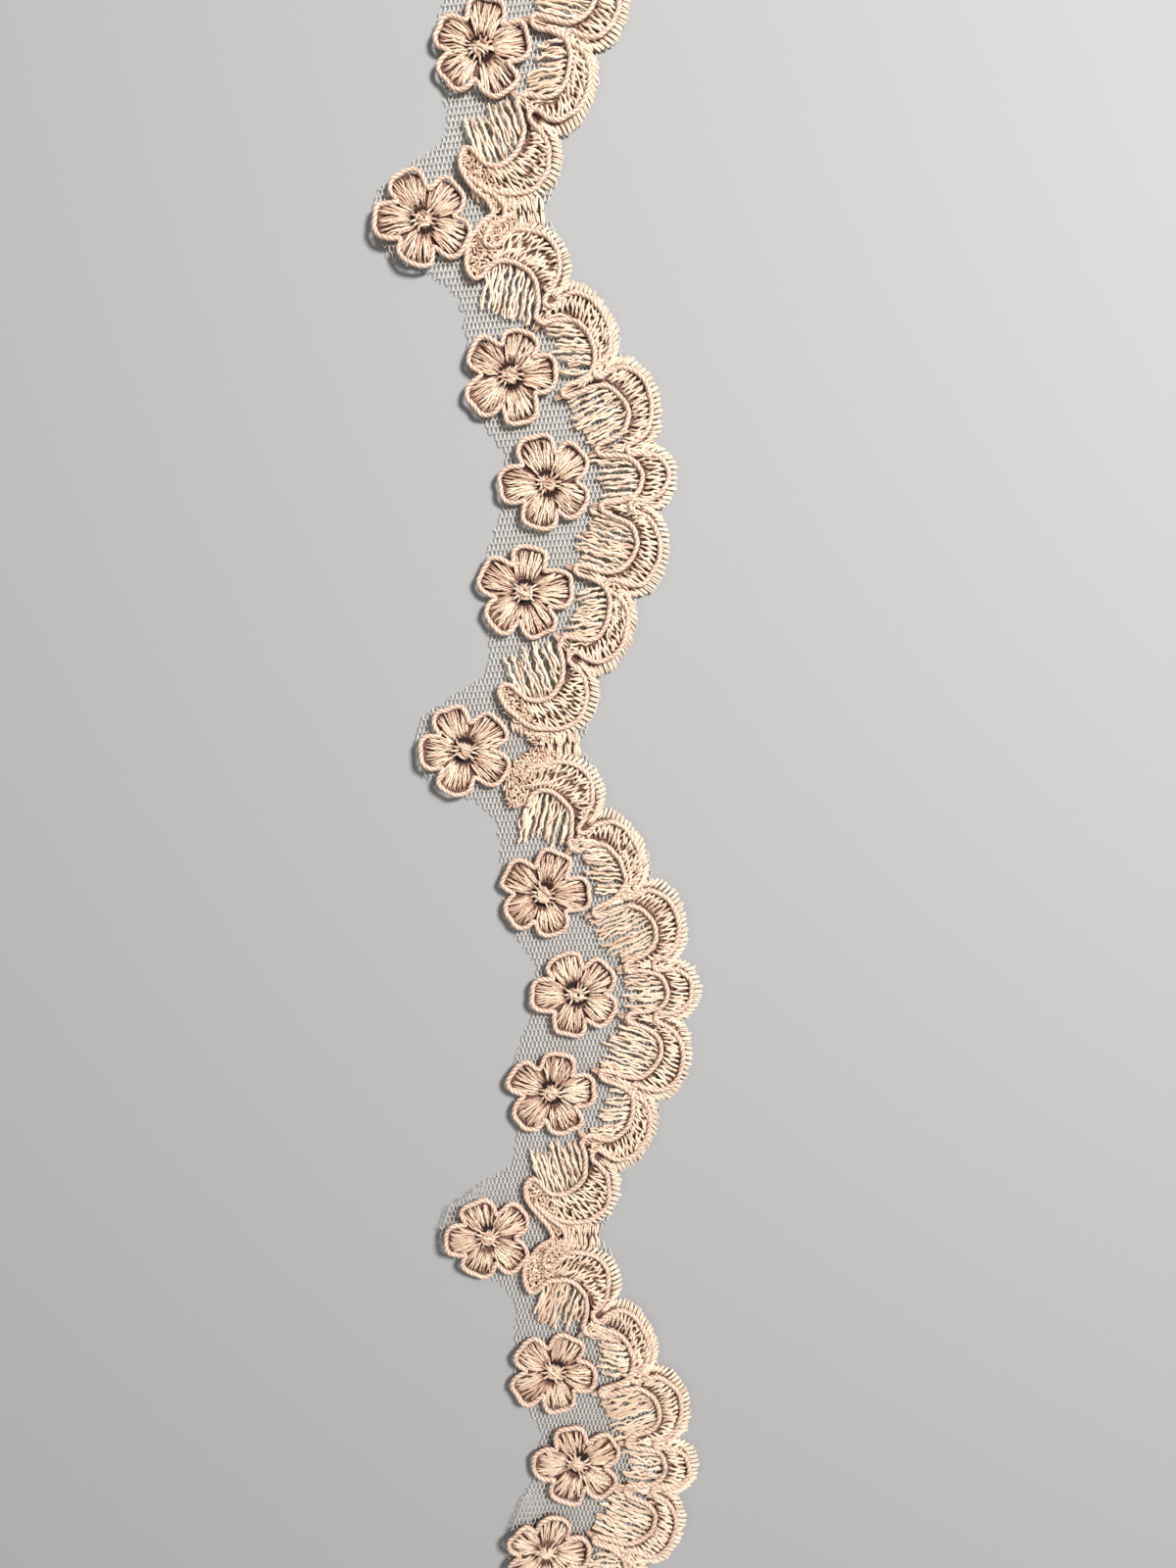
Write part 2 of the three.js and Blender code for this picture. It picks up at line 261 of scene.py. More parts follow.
def ramp(tree, feed, stops):
    """A colour ramp with stops given as (place, red, green, blue)."""
    made = tree.nodes.new("ShaderNodeValToRGB")
    tree.links.new(feed, made.inputs[0])
    band = made.color_ramp
    while len(band.elements) < len(stops):
        band.elements.new(0.5)
    for element, (place, *colour) in zip(band.elements, stops):
        element.position = place
        element.color = (*colour, 1.0)
    return made.outputs[0]


net_material, tree, shader = principled("ivory tulle", {
    "Roughness": 0.6, "Sheen Weight": 0.3, "Sheen Roughness": 0.5,
})
own_map = node(tree, "ShaderNodeUVMap", {"uv_map": "OFBake"}).outputs[0]
parts = node(tree, "ShaderNodeSeparateXYZ", _0=own_map)
tint = ramp(tree, parts.outputs[1], (
    (0.0, 0.62, 0.56, 0.49), (0.55, 0.74, 0.68, 0.60), (1.0, 0.88, 0.82, 0.73),
))
tree.links.new(tint, shader.inputs["Base Color"])
fibre = node(tree, "ShaderNodeTexNoise", Scale=9000.0, Detail=2.0)
place = tree.nodes.new("ShaderNodeTexCoord").outputs["Object"]
tree.links.new(place, fibre.inputs["Vector"])
bump = node(tree, "ShaderNodeBump", Strength=0.3, Distance=0.00004, Height=fibre.outputs[0])
tree.links.new(bump.outputs[0], shader.inputs["Normal"])

MESH_PITCH = 0.91
MESH_ROW = 1.36
PILLAR = 0.75
NET_HEIGHT = 0.62
NET_THREAD = 0.11
EDGE_RAGGED = 0.3

# In the notches between the scallops the net sticks out a little and is frayed.
NOTCHES = (0.0, 17.2, 32.5, 49.3, 61.7, 78.5, 93.8, 111.0)
NOTCH_FRAY = 1.5
NOTCH_WIDTH = 2.8

NET_COLUMNS = range(-14, 58)
NET_SHAKE = 0.04
NET_RIPPLE = 0.06
NET_HALVES = (
    # name, where it starts and ends along the trim, flat width, seed
    ("net_lower", -12.6, 222.0, 61.0, 1),
    ("net_upper", 222.0, 456.6, 61.0, 2),
)
net_table = numpy.array([
    (repeat * REPEAT + along, left, right) for repeat, along, left, right in net_rows
])


def net_limits(station):
    """The left and the right cut edge of the net at a distance along the whole trim."""
    row = int(numpy.searchsorted(net_table[:, 0], station))
    row = min(max(row, 1), len(net_table) - 1)
    before, after = net_table[row - 1], net_table[row]
    share = (station - before[0]) / (after[0] - before[0])
    return before[1:] + (after[1:] - before[1:]) * share


def tulle_edges(first, last, seed):
    """The threads of the net between two stations: upright pillars and the slanting pairs."""
    chance = random.Random(seed)
    points = []
    edges = []
    seen = {}

    def knot(row, column, end):
        key = (row, column, end)
        if key not in seen:
            station = row * MESH_ROW + end * PILLAR / 2 + chance.uniform(-NET_SHAKE, NET_SHAKE)
            across = (column + 0.5 * (row % 2)) * MESH_PITCH + chance.uniform(-NET_SHAKE, NET_SHAKE)
            repeat = min(max(int(station // REPEAT), 0), len(runs))
            height = NET_HEIGHT + chance.uniform(-NET_RIPPLE, NET_RIPPLE)
            seen[key] = len(points)
            points.append(placed(repeat, station - repeat * REPEAT, across, height))
        return seen[key]

    def inside(row, column, end):
        station = row * MESH_ROW + end * PILLAR / 2
        left, right = net_limits(station)
        across = (column + 0.5 * (row % 2)) * MESH_PITCH
        ragged = chance.uniform(-EDGE_RAGGED, EDGE_RAGGED)
        off = min(abs(station % REPEAT - notch) for notch in NOTCHES)
        frayed = chance.random() * NOTCH_FRAY * max(1 - off / NOTCH_WIDTH, 0.0)
        return left - ragged <= across <= right + ragged + frayed

    for row in range(math.ceil(first / MESH_ROW), math.ceil(last / MESH_ROW)):
        beside = row % 2
        for column in NET_COLUMNS:
            links = (
                ((row, column, -1), (row, column, 1)),
                ((row, column, 1), (row + 1, column - 1 + beside, -1)),
                ((row, column, 1), (row + 1, column + beside, -1)),
            )
            for one, other in links:
                if inside(*one) and inside(*other):
                    edges.append((knot(*one), knot(*other)))
    return points, edges


net_tree = tulle_tree()
for name, first, last, width, seed in NET_HALVES:
    points, edges = tulle_edges(first, last, seed)
    source = bpy.data.meshes.new(name)
    source.from_pydata(points, edges, [])
    piece = grown(name, source, net_tree, {
        "Radius": NET_THREAD * MM, "Seed": seed, "Material": net_material,
    })
    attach(piece, "root")
    if seed == 1:
        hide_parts("net_ground")


# PADDING UNDER THE SATIN
# A low bed of underlay stitches, sewn first, on which the satin stitches lie. It shows only as the
# bottom of the gaps between them, and its colour is a dark rose-brown of painted shade for the
# shade in those gaps.

PAD_BASE = 0.08
PAD_TOP = 1.3
FLOWERS = (
    # name, along, across, direction of one petal in degrees
    ("flower_valley", 0.0, 0.0, 180.0),
    ("flower_low", 33.0, 15.6, 4.0),
    ("flower_middle", 55.5, 22.2, 180.0),
    ("flower_high", 78.3, 15.8, -3.0),
)
PETAL_LINE = (
    # degrees off the petal's middle, radius of the cord
    (0.0, 9.9), (8.0, 10.1), (15.0, 10.0), (21.0, 9.5), (25.5, 8.75), (29.0, 7.75),
    (31.8, 6.85), (34.0, 6.25), (36.0, 5.95),
)
PETALS = 5
PETAL_ANGLE = 360.0 / PETALS
OUTLINE_STEPS = 28


def petal_radius(off):
    """The radius of the cord round a petal, at an angle off the petal's middle."""
    angles = [row[0] for row in PETAL_LINE]
    radii = [row[1] for row in PETAL_LINE]
    return float(numpy.interp(abs(off), angles, radii))


def flowers_of(repeat):
    """The flowers of a repeat, of which the last has only its valley flower."""
    return FLOWERS if repeat < len(runs) else FLOWERS[:1]


def flower_chance(repeat, name):
    """The random source that gives one flower its hand-like unevenness."""
    return random.Random(f"{name} {repeat}")


def petal_shapes(repeat, name):
    """For each petal of a flower, a small turn in degrees and a share of its length."""
    chance = flower_chance(repeat, name)
    return [(chance.uniform(-4.0, 4.0), chance.uniform(0.92, 1.03)) for _ in range(PETALS)]


def flower_place(repeat, flower, angle, radius, height):
    """A point of a flower, at an angle in degrees and a radius round its eye."""
    _, along, across, _ = flower
    turn = math.radians(angle)
    return placed(repeat, along + radius * math.sin(turn), across + radius * math.cos(turn), height)


def flower_outline(repeat, flower, inset, height):
    """The line of a flower's cord, moved in by an inset."""
    line = []
    shapes = petal_shapes(repeat, flower[0])
    for petal in range(PETALS):
        turn, length = shapes[petal]
        for step in range(-OUTLINE_STEPS // 2, OUTLINE_STEPS // 2):
            off = step * PETAL_ANGLE / OUTLINE_STEPS
            ease = 1 - abs(off) / (PETAL_ANGLE / 2)
            radius = petal_radius(off)
            radius = radius * (1 + (length - 1) * min(ease * 2, 1)) - inset
            angle = flower[3] + petal * PETAL_ANGLE + off + turn * min(ease * 2, 1)
            line.append(flower_place(repeat, flower, angle, radius, height))
    return line


def extruded(name, outlines, drop, material):
    """One piece: closed flat-topped solids under several outlines, for the underlay or for the
    discs of painted shade in the eyes.
    """
    points = []
    faces = []
    for outline in outlines:
        base = len(points)
        count = len(outline)
        points += outline
        points += [Vector((p.x, p.y, max(p.z - drop * MM, PAD_BASE * MM))) for p in outline]
        faces.append(tuple(range(base, base + count)))
        faces.append(tuple(range(base + 2 * count - 1, base + count - 1, -1)))
        for i in range(count):
            after = (i + 1) % count
            faces.append((base + i, base + count + i, base + count + after, base + after))
    mesh = bpy.data.meshes.new(name)
    mesh.from_pydata(points, [], faces)
    mesh.materials.append(material)
    made = bpy.data.objects.new(name, mesh)
    bpy.context.scene.collection.objects.link(made)
    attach(made, "root")


# The underlay's colour is darkened to a rose-brown of painted shade, for the shade at the bottom of
# the gaps between stitches.
shaded_pad_material, tree, shader = principled("rose underlay thread, painted shade", {"Roughness": 0.75})
place = tree.nodes.new("ShaderNodeTexCoord").outputs["Object"]
weave = node(tree, "ShaderNodeTexNoise", Vector=place, Scale=1600.0, Detail=3.0)
tint = ramp(tree, weave.outputs[0], ((0.3, 0.085, 0.035, 0.024), (0.7, 0.24, 0.115, 0.08)))
tree.links.new(tint, shader.inputs["Base Color"])
bump = node(tree, "ShaderNodeBump", Strength=0.6, Distance=0.00015, Height=weave.outputs[0])
tree.links.new(bump.outputs[0], shader.inputs["Normal"])

for repeat in range(len(runs) + 1):
    outlines = [
        flower_outline(repeat, flower, 0.35, PAD_TOP) for flower in flowers_of(repeat)
    ]
    extruded(f"petal_underlay_{repeat + 1}", outlines, PAD_TOP - PAD_BASE, shaded_pad_material)


# PETAL SATIN
# Bundles of glossy rayon thread that run from the eye of a flower to the cord round its petals,
# long and short by turns, so that they lie close at the eye and open towards the rim.

THREAD_SIDES = 5
EYE = 2.2
BUNDLES = 8
FILL_ANGLE = 31.0
FOOT_HALF = 0.26
HEAD_SHARE = 0.62
BUNDLE_HALF = 0.42
BUNDLE_SHAKE = 1.5
LOOSE_THREADS = 6
LOOSE_ANGLE = 26.0
LOOSE_HALF = 0.17
SATIN_LOW = 1.5

# Beside the knot the stitches leave two short hollows, one on each side.
HOLLOW_ANGLE = 30.0
HOLLOW_DEPTH = 0.5


def wavered(tree, curve, number, scale, reach):
    """A curve whose points stray from their line by up to half of reach, by a smooth noise."""
    place = tree.nodes.new("GeometryNodeInputPosition").outputs[0]
    noise = node(
        tree, "ShaderNodeTexNoise", {"noise_dimensions": "4D"},
        Vector=place, W=number, Scale=scale, Detail=1.0,
    ).outputs["Color"]
    centred = node(
        tree, "ShaderNodeVectorMath", {"operation": "SUBTRACT"}, _0=noise, _1=(0.5, 0.5, 0.5)
    ).outputs[0]
    offset = node(
        tree, "ShaderNodeVectorMath", {"operation": "SCALE"}, _0=centred, _3=reach
    ).outputs[0]
    return node(tree, "GeometryNodeSetPosition", Geometry=curve, Offset=offset).outputs[0]


def satin_tree():
    """Each line of a mesh as a closed thread that bows up in its middle and is thin at its ends."""
    tree = node_tree("Satin stitches", (
        ("Points", "NodeSocketInt", 7),
        ("Sides", "NodeSocketInt", THREAD_SIDES),
        ("Bow", "NodeSocketFloat", 0.0003),
        ("Flatness", "NodeSocketFloat", 0.8),
        ("End share", "NodeSocketFloat", 0.55),
        ("Waver", "NodeSocketFloat", 0.0005),
        ("Apart", "NodeSocketFloat", 90.0),
        ("Material", "NodeSocketMaterial", None),
    ))
    start = tree.nodes.new("NodeGroupInput").outputs
    curve = node(tree, "GeometryNodeMeshToCurve", Mesh=start["Geometry"]).outputs[0]
    curve = node(
        tree, "GeometryNodeResampleCurve", {"mode": "COUNT"}, Curve=curve, Count=start["Points"]
    ).outputs[0]
    pick = node(
        tree, "GeometryNodeInputNamedAttribute", {"data_type": "FLOAT"}, Name="thread"
    ).outputs[0]
    curve, thread = captured(tree, curve, pick)
    own = sums(tree, "MULTIPLY", thread, start["Apart"])
    curve = wavered(tree, curve, own, 500.0, start["Waver"])
    along = tree.nodes.new("GeometryNodeSplineParameter").outputs["Factor"]
    curve, along = captured(tree, curve, along)
    hump = sums(tree, "SINE", sums(tree, "MULTIPLY", along, math.pi))
    rise = sums(tree, "MULTIPLY", hump, start["Bow"])
    lift = node(tree, "ShaderNodeCombineXYZ", _2=rise).outputs[0]
    curve = node(tree, "GeometryNodeSetPosition", Geometry=curve, Offset=lift).outputs[0]
    curve = node(tree, "GeometryNodeSetCurveNormal", {"mode": "Z_UP"}, Curve=curve).outputs[0]
    half = node(
        tree, "GeometryNodeInputNamedAttribute", {"data_type": "FLOAT"}, Name="half_width"
    ).outputs[0]
    full = sums(tree, "POWER", sums(tree, "MAXIMUM", hump, 0.0001), 0.35)
    rest = sums(tree, "SUBTRACT", 1.0, start["End share"])
    swell = sums(tree, "ADD", sums(tree, "MULTIPLY", full, rest), start["End share"])
    curve, scale = captured(tree, curve, sums(tree, "MULTIPLY", half, swell))
    ring = node(
        tree, "GeometryNodeCurvePrimitiveCircle", Resolution=start["Sides"], Radius=1.0
    ).outputs[0]
    squash = node(tree, "ShaderNodeCombineXYZ", _0=start["Flatness"], _1=1.0, _2=1.0).outputs[0]
    ring = node(tree, "GeometryNodeTransform", Geometry=ring, Scale=squash).outputs[0]
    around = tree.nodes.new("GeometryNodeSplineParameter").outputs["Factor"]
    ring, around = captured(tree, ring, around)
    tube = node(
        tree, "GeometryNodeCurveToMesh", _0=curve, _1=ring, _2=scale, _3=True
    ).outputs[0]
    tube = node(
        tree, "GeometryNodeStoreNamedAttribute", {"data_type": "FLOAT", "domain": "POINT"},
        Geometry=tube, Name="around", Value=around,
    ).outputs[0]
    finish_tree(tree, tube, along, thread, start["Material"])
    return tree


THREAD_TINTS = (
    (0.0, 0.53, 0.305, 0.20), (0.45, 0.78, 0.54, 0.385), (1.0, 0.98, 0.80, 0.60),
)
# Painted shade at the ends of a thread, where it goes down under a cord or into the cloth: deep at
# both ends of satin stitches, slight at the free tips of combs, tongues and picots.
PAINTED_END_SHADE = (0.5, 0.36, 0.31)
PAINTED_TIP_SHADE = (0.93, 0.88, 0.85)
FILAMENTS = 3


def thread_material(name, far_painted_shade):
    """Glossy thread: a tint for each thread, darkened towards its ends by painted shade, with its
    filaments as a bump.
    """
    material, tree, shader = principled(name, {
        "Roughness": 0.27, "Sheen Weight": 0.25, "Sheen Roughness": 0.35,
        "Specular IOR Level": 0.75,
    })
    own_map = node(tree, "ShaderNodeUVMap", {"uv_map": "OFBake"}).outputs[0]
    parts = node(tree, "ShaderNodeSeparateXYZ", _0=own_map)
    tint = ramp(tree, parts.outputs[1], THREAD_TINTS)
    # Painted shade: each thread darkens towards its two ends.
    shade = ramp(tree, parts.outputs[0], (
        (0.0, *PAINTED_END_SHADE), (0.17, 1.0, 1.0, 1.0), (0.85, 1.0, 1.0, 1.0), (1.0, *far_painted_shade),
    ))
    mixed = node(tree, "ShaderNodeMix", {"data_type": "RGBA", "blend_type": "MULTIPLY"}, _0=1.0)
    tree.links.new(tint, mixed.inputs[6])
    tree.links.new(shade, mixed.inputs[7])
    tree.links.new(mixed.outputs[2], shader.inputs["Base Color"])
    around = node(tree, "ShaderNodeAttribute", {"attribute_name": "around"}).outputs["Fac"]
    turns = sums(tree, "MULTIPLY", parts.outputs[0], 2.0)
    angle = sums(tree, "MULTIPLY", sums(tree, "ADD", around, turns), FILAMENTS * 2 * math.pi)
    groove = sums(tree, "SINE", angle)
    bump = node(tree, "ShaderNodeBump", Strength=0.5, Distance=0.00006, Height=groove)
    tree.links.new(bump.outputs[0], shader.inputs["Normal"])
    return material


def stitch_source(name, stitches):
    """A mesh of loose lines, with each point's half width and each thread's own number."""
    points = []
    edges = []
    widths = []
    threads = []
    for line, half_widths, thread in stitches:
        base = len(points)
        points += line
        widths += [half * MM for half in half_widths]
        threads += [thread] * len(line)
        edges += [(base + i, base + i + 1) for i in range(len(line) - 1)]
    mesh = bpy.data.meshes.new(name)
    mesh.from_pydata(points, edges, [])
    mesh.attributes.new("half_width", "FLOAT", "POINT").data.foreach_set("value", widths)
    mesh.attributes.new("thread", "FLOAT", "POINT").data.foreach_set("value", threads)
    return mesh


satin_material = thread_material("dusty pink rayon", PAINTED_END_SHADE)
satin = satin_tree()


def sewn(name, stitches, material, settings):
    """One piece of the embroidery, made from the rows of its stitches."""
    source = stitch_source(name, stitches)
    piece = grown(name, source, satin, {**settings, "Material": material})
    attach(piece, "root")
    return piece


def in_hollow(repeat, name, angle):
    """Whether a direction from the eye points at one of its two hollows."""
    turn = flower_chance(repeat, name + " eye").uniform(-25.0, 25.0)
    return abs((angle - turn) % 180 - 90) < HOLLOW_ANGLE


def petal_stitches(repeat, flower):
    """The stitches of one flower: in each petal, pairs of threads in long and short bundles."""
    chance = flower_chance(repeat, flower[0] + " satin")
    stitches = []
    for petal, (turn, length) in enumerate(petal_shapes(repeat, flower[0])):
        for bundle in range(BUNDLES):
            off = ((bundle + 0.5) / BUNDLES * 2 - 1) * FILL_ANGLE
            off += chance.uniform(-BUNDLE_SHAKE, BUNDLE_SHAKE)
            angle = flower[3] + petal * PETAL_ANGLE + turn
            rim = petal_radius(off) * length - chance.uniform(0.35, 1.0)
            foot = EYE + (chance.uniform(0.0, 0.3) if bundle % 2 else chance.uniform(0.3, 0.9))
            if in_hollow(repeat, flower[0], angle + off):
                foot += HOLLOW_DEPTH
            half = BUNDLE_HALF * min(rim / 8.5, 1.1) * chance.uniform(0.85, 1.12)
            for strand in (-1, 1):
                spread = strand * math.degrees(half * 0.5 / rim)
                height = SATIN_LOW + chance.uniform(0.0, 0.28)
                line = [
                    flower_place(repeat, flower, angle + off * 1.12 + spread * 1.4,
                                 foot + chance.uniform(0, 0.5), SATIN_LOW + 0.16),
                    flower_place(repeat, flower, angle + off * 1.03 + spread * 1.2,
                                 (foot + rim) / 2, height + 0.14),
                    flower_place(repeat, flower, angle + off + spread,
                                 rim + chance.uniform(-0.35, 0.3), height),
                ]
                wide = half * HEAD_SHARE
                halves = (FOOT_HALF, 0.5 * (FOOT_HALF + wide), wide)
                stitches.append((line, halves, chance.random()))
        # A few thin threads lie on top of each petal, given only the lighter tints as painted
        # highlights, for bright specks over the satin.
        for _ in range(LOOSE_THREADS):
            off = chance.uniform(-LOOSE_ANGLE, LOOSE_ANGLE)
            near = chance.uniform(EYE + 1.0, 5.5)
            far = min(near + chance.uniform(2.2, 3.6), petal_radius(off) * length - 0.8)
            line = []
            for share in (0.0, 0.5, 1.0):
                angle = flower[3] + petal * PETAL_ANGLE + turn + off * (1 - 0.2 * share)
                radius = near + (far - near) * share
                line.append(flower_place(repeat, flower, angle, radius, SATIN_LOW + 0.42))
            stitches.append((line, (LOOSE_HALF,) * 3, 0.6 + 0.4 * chance.random()))
    return stitches


for repeat in range(len(runs) + 1):
    stitches = []
    for flower in flowers_of(repeat):
        stitches += petal_stitches(repeat, flower)
    piece = sewn(f"petal_satin_{repeat + 1}", stitches, satin_material, {
        "Points": 8, "Bow": 0.0003, "Flatness": 0.85, "Waver": 0.0012,
    })
    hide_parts(*[f"{flower[0]}_{repeat + 1}" for flower in flowers_of(repeat)])


# EYE KNOTS
# A small knot of crossing stitches in the eye of each flower, with short rays round it. Between the
# rays a thin near-black disc of painted shade shows, as a broken ring, for the deep shade in the
# hollows beside the knot.

KNOT_RADIUS = 1.95
KNOT_STITCHES = 18
KNOT_RAYS = 14
SHADE_DISC_RADIUS = 2.85
SHADE_DISC_POINTS = 24
SHADE_DISC_RISE = 0.06
SHADE_DISC_THICK = 0.05
# A near-black disc of painted shade under each knot, showing between the rays and in the two
# hollows.
eye_shade_material = principled("painted deep rose shade", {
    "Base Color": (0.03, 0.016, 0.015, 1.0), "Roughness": 0.9, "Specular IOR Level": 0.2,
})[0]


def eye_knot(repeat, flower):
    """Short stitches that cross over one another in the eye."""
    chance = flower_chance(repeat, flower[0] + " knot")
    stitches = []
    for i in range(KNOT_STITCHES):
        angle = i * 180.0 / KNOT_STITCHES + chance.uniform(-12, 12)
        aside = chance.uniform(-0.75, 0.75) * KNOT_RADIUS
        reach = math.sqrt(KNOT_RADIUS ** 2 - aside ** 2) * chance.uniform(0.8, 1.05)
        height = PAD_TOP + 0.12 + 0.035 * i
        line = []
        for end in (-1.0, 0.0, 1.0):
            radius = math.hypot(reach * end, aside)
            turn = angle + math.degrees(math.atan2(aside, reach * end))
            line.append(flower_place(repeat, flower, turn, radius, height))
        stitches.append((line, (0.22, 0.28, 0.22), chance.random()))
    for i in range(KNOT_RAYS):
        angle = 360.0 * i / KNOT_RAYS + chance.uniform(-7, 7)
        if in_hollow(repeat, flower[0], angle):
            continue
        line = [
            flower_place(repeat, flower, angle, 1.2, PAD_TOP + 0.3),
            flower_place(repeat, flower, angle + 5, chance.uniform(2.7, 3.3), PAD_TOP + 0.32),
        ]
        stitches.append((line, (0.27, 0.24), chance.random()))
    return stitches


for repeat in range(len(runs) + 1):
    outlines = []
    stitches = []
    for flower in flowers_of(repeat):
        outlines.append([
            flower_place(repeat, flower, 360.0 * i / SHADE_DISC_POINTS, SHADE_DISC_RADIUS, PAD_TOP + SHADE_DISC_RISE)
            for i in range(SHADE_DISC_POINTS)
        ])
        stitches += eye_knot(repeat, flower)
    extruded(f"eye_shade_discs_{repeat + 1}", outlines, SHADE_DISC_THICK, eye_shade_material)
    sewn(f"eye_knots_{repeat + 1}", stitches, satin_material, {"Bow": 0.0005, "Flatness": 1.0})


# BORDER SATIN
# Seven fans to a repeat. Satin stitches run from an inner cord to an outer cord over an underlay,
# in one row, or in two and three staggered rows where the band is wide.

HALF_REPEAT = REPEAT / 2
FANS = (
    # cusp across, along, bulge, square, lean; tip across, along, bulge, square, lean; comb short,
    # comb slant; how far the tongue at the tip reaches further in
    (42.3, 6.2, 5.8, 0.75, 0.0, 33.9, 5.8, 8.7, 0.5, 0.0, 0.2, 0.0, 0.6),
    (36.0, 23.0, 6.6, 0.9, 1.4, 28.2, 18.7, 9.6, 0.5, -0.6, -1.4, 0.0, 1.6),
    (26.4, 38.3, 6.2, 0.9, 1.0, 22.9, 33.3, 8.4, 0.5, 0.0, 2.2, 0.45, 0.3),
    (10.6, 49.4, 9.2, 1.1, -1.4, 10.6, 36.8, 10.6, 0.45, 1.8, 0.6, 0.15, 0.0),
)
COMB_REACH = 0.9
SATIN_PITCH = 0.53
SATIN_HALF = 0.32
SATIN_LEAN = 0.42
NOTCH_DEPTH = 1.4
NOTCH_CLEAR = 3.3
BAND_STEPS = 24


def corners(kind):
    """The corners of the outer cord or of the inner cord, from the near end of a repeat on."""
    column = 0 if kind == "cusp" else 5
    upper = [Vector((row[column], row[column + 1])) for row in FANS]
    below = [Vector((corner.x, HALF_REPEAT - corner.y)) for corner in reversed(upper)]
    return below + [Vector((corner.x, HALF_REPEAT + corner.y)) for corner in upper]


CUSPS = corners("cusp")
TIPS = corners("tip")
FAN_COUNT = len(CUSPS) - 1
MIDDLE_FAN = (FAN_COUNT - 1) // 2


def fan_row(index):
    """The sizes of a fan, counted from the near end of a repeat."""
    return FANS[abs(index - MIDDLE_FAN)]


def on_arch(index, kind, turn, start_in=0.0):
    """A point on a fan's outer or inner arch, at a turn from 0 to pi."""
    ends = CUSPS if kind == "cusp" else TIPS
    column = 2 if kind == "cusp" else 7
    bulge, square, lean = fan_row(index)[column:column + 3]
    side = (index > MIDDLE_FAN) - (index < MIDDLE_FAN)
    before, after = ends[index], ends[index + 1]
    forward = (after - before).normalized()
    before = before + forward * start_in
    after = after - forward * start_in
    chord = after - before
    outward = Vector((chord.y, -chord.x)).normalized()
    hump = max(math.sin(turn), 0.0)
    return (before + chord * ((1 - math.cos(turn)) / 2)
            + forward * (side * lean * hump) + outward * (bulge * hump ** square))


def edge_direction(index, turn):
    """The way outwards at a place on the outer cord, which turns into the notch at a corner."""
    outer = on_arch(index, "cusp", turn)
    inner = on_arch(index, "tip", turn)
    corner = index if turn < math.pi / 2 else index + 1
    if 0 < corner < FAN_COUNT:
        middle = (on_arch(corner - 1, "cusp", 2.83) + on_arch(corner, "cusp", 0.31)) / 2
        notch = (middle - CUSPS[corner]).normalized()
    else:
        notch = (CUSPS[corner] - TIPS[corner]).normalized()
    return (outer - inner).normalized().lerp(notch, 1 - math.sin(turn)).normalized()


def band_limits(index):
    """From which turn to which turn a fan's band is filled. The end fans stop short of the horn."""
    first = 0.24 * math.pi if index == 0 else 0.0
    last = 0.76 * math.pi if index == FAN_COUNT - 1 else math.pi
    return first, last


def by_length(spots):
    """The distance along a row of points at which each of them lies."""
    reach = [0.0]
    for before, after in zip(spots, spots[1:]):
        reach.append(reach[-1] + (after - before).length)
    return reach


def even_turns(index, first, last, pitch, kinds=("cusp",)):
    """Turns of a fan an even pitch apart along its outer arch, or along the mean of both."""
    turns = numpy.linspace(first, last, 161)
    reach = sum(numpy.array(by_length([on_arch(index, kind, turn) for turn in turns]))
                for kind in kinds) / len(kinds)
    count = max(round(reach[-1] / pitch), 1)
    wanted = (numpy.arange(count) + 0.5) / count * reach[-1]
    return [float(turn) for turn in numpy.interp(wanted, reach, turns)]


def stitch_between(repeat, foot, head, low, high, half, thread, arch=0.12):
    """A stitch from foot to head, at a height at each end, as a row for stitch_source."""
    line = []
    for part in (0.0, 0.5, 1.0):
        spot = foot.lerp(head, part)
        height = low + (high - low) * part + arch * math.sin(part * math.pi)
        line.append(placed(repeat, spot.y, spot.x, height))
    return line, (half * 0.85, half, half), thread


def band_stitches(repeat, index, chance):
    """The satin of one fan. Where the band is wide the stitches lie in staggered rows."""
    stitches = []
    first, last = band_limits(index)
    for i, turn in enumerate(even_turns(index, first, last, SATIN_PITCH, ("cusp", "tip"))):
        turn += chance.uniform(-0.012, 0.012)
        outer = on_arch(index, "cusp", turn)
        inner = on_arch(index, "tip", turn)
        span = (outer - inner).length
        rows = 1 if span < 6.2 else 2 if span < 9.0 else 3
        breaks = [0.0] + [(k + chance.uniform(-0.3, 0.3)) / rows for k in range(1, rows)] + [1.0]
        for low, high in zip(breaks, breaks[1:]):
            short = chance.uniform(0.0, 0.9 if i % 3 == 0 else 0.2) if low == 0.0 else 0.0
            way = (outer - inner).normalized()
            aside = Vector((way.y, -way.x))
            lean = SATIN_LEAN if i % 2 else -SATIN_LEAN
            foot = inner + way * (low * span + 0.5 + short)
            head = inner + way * (high * span - (0.45 if high == 1.0 else -0.15))
            foot -= aside * (lean + chance.uniform(-0.16, 0.16))
            head += aside * (lean + chance.uniform(-0.16, 0.16))
            for corner in (index, index + 1):
                if 0 < corner < FAN_COUNT:
                    head -= way * max(NOTCH_CLEAR - (head - CUSPS[corner]).length, 0.0)
            height = SATIN_LOW + chance.uniform(-0.1, 0.2) + 0.2 * (i % 2)
            half = SATIN_HALF * chance.uniform(0.75, 1.15)
            stitches.append(stitch_between(
                repeat, foot, head, height, height, half, 0.45 + 0.55 * chance.random()
            ))
    return stitches


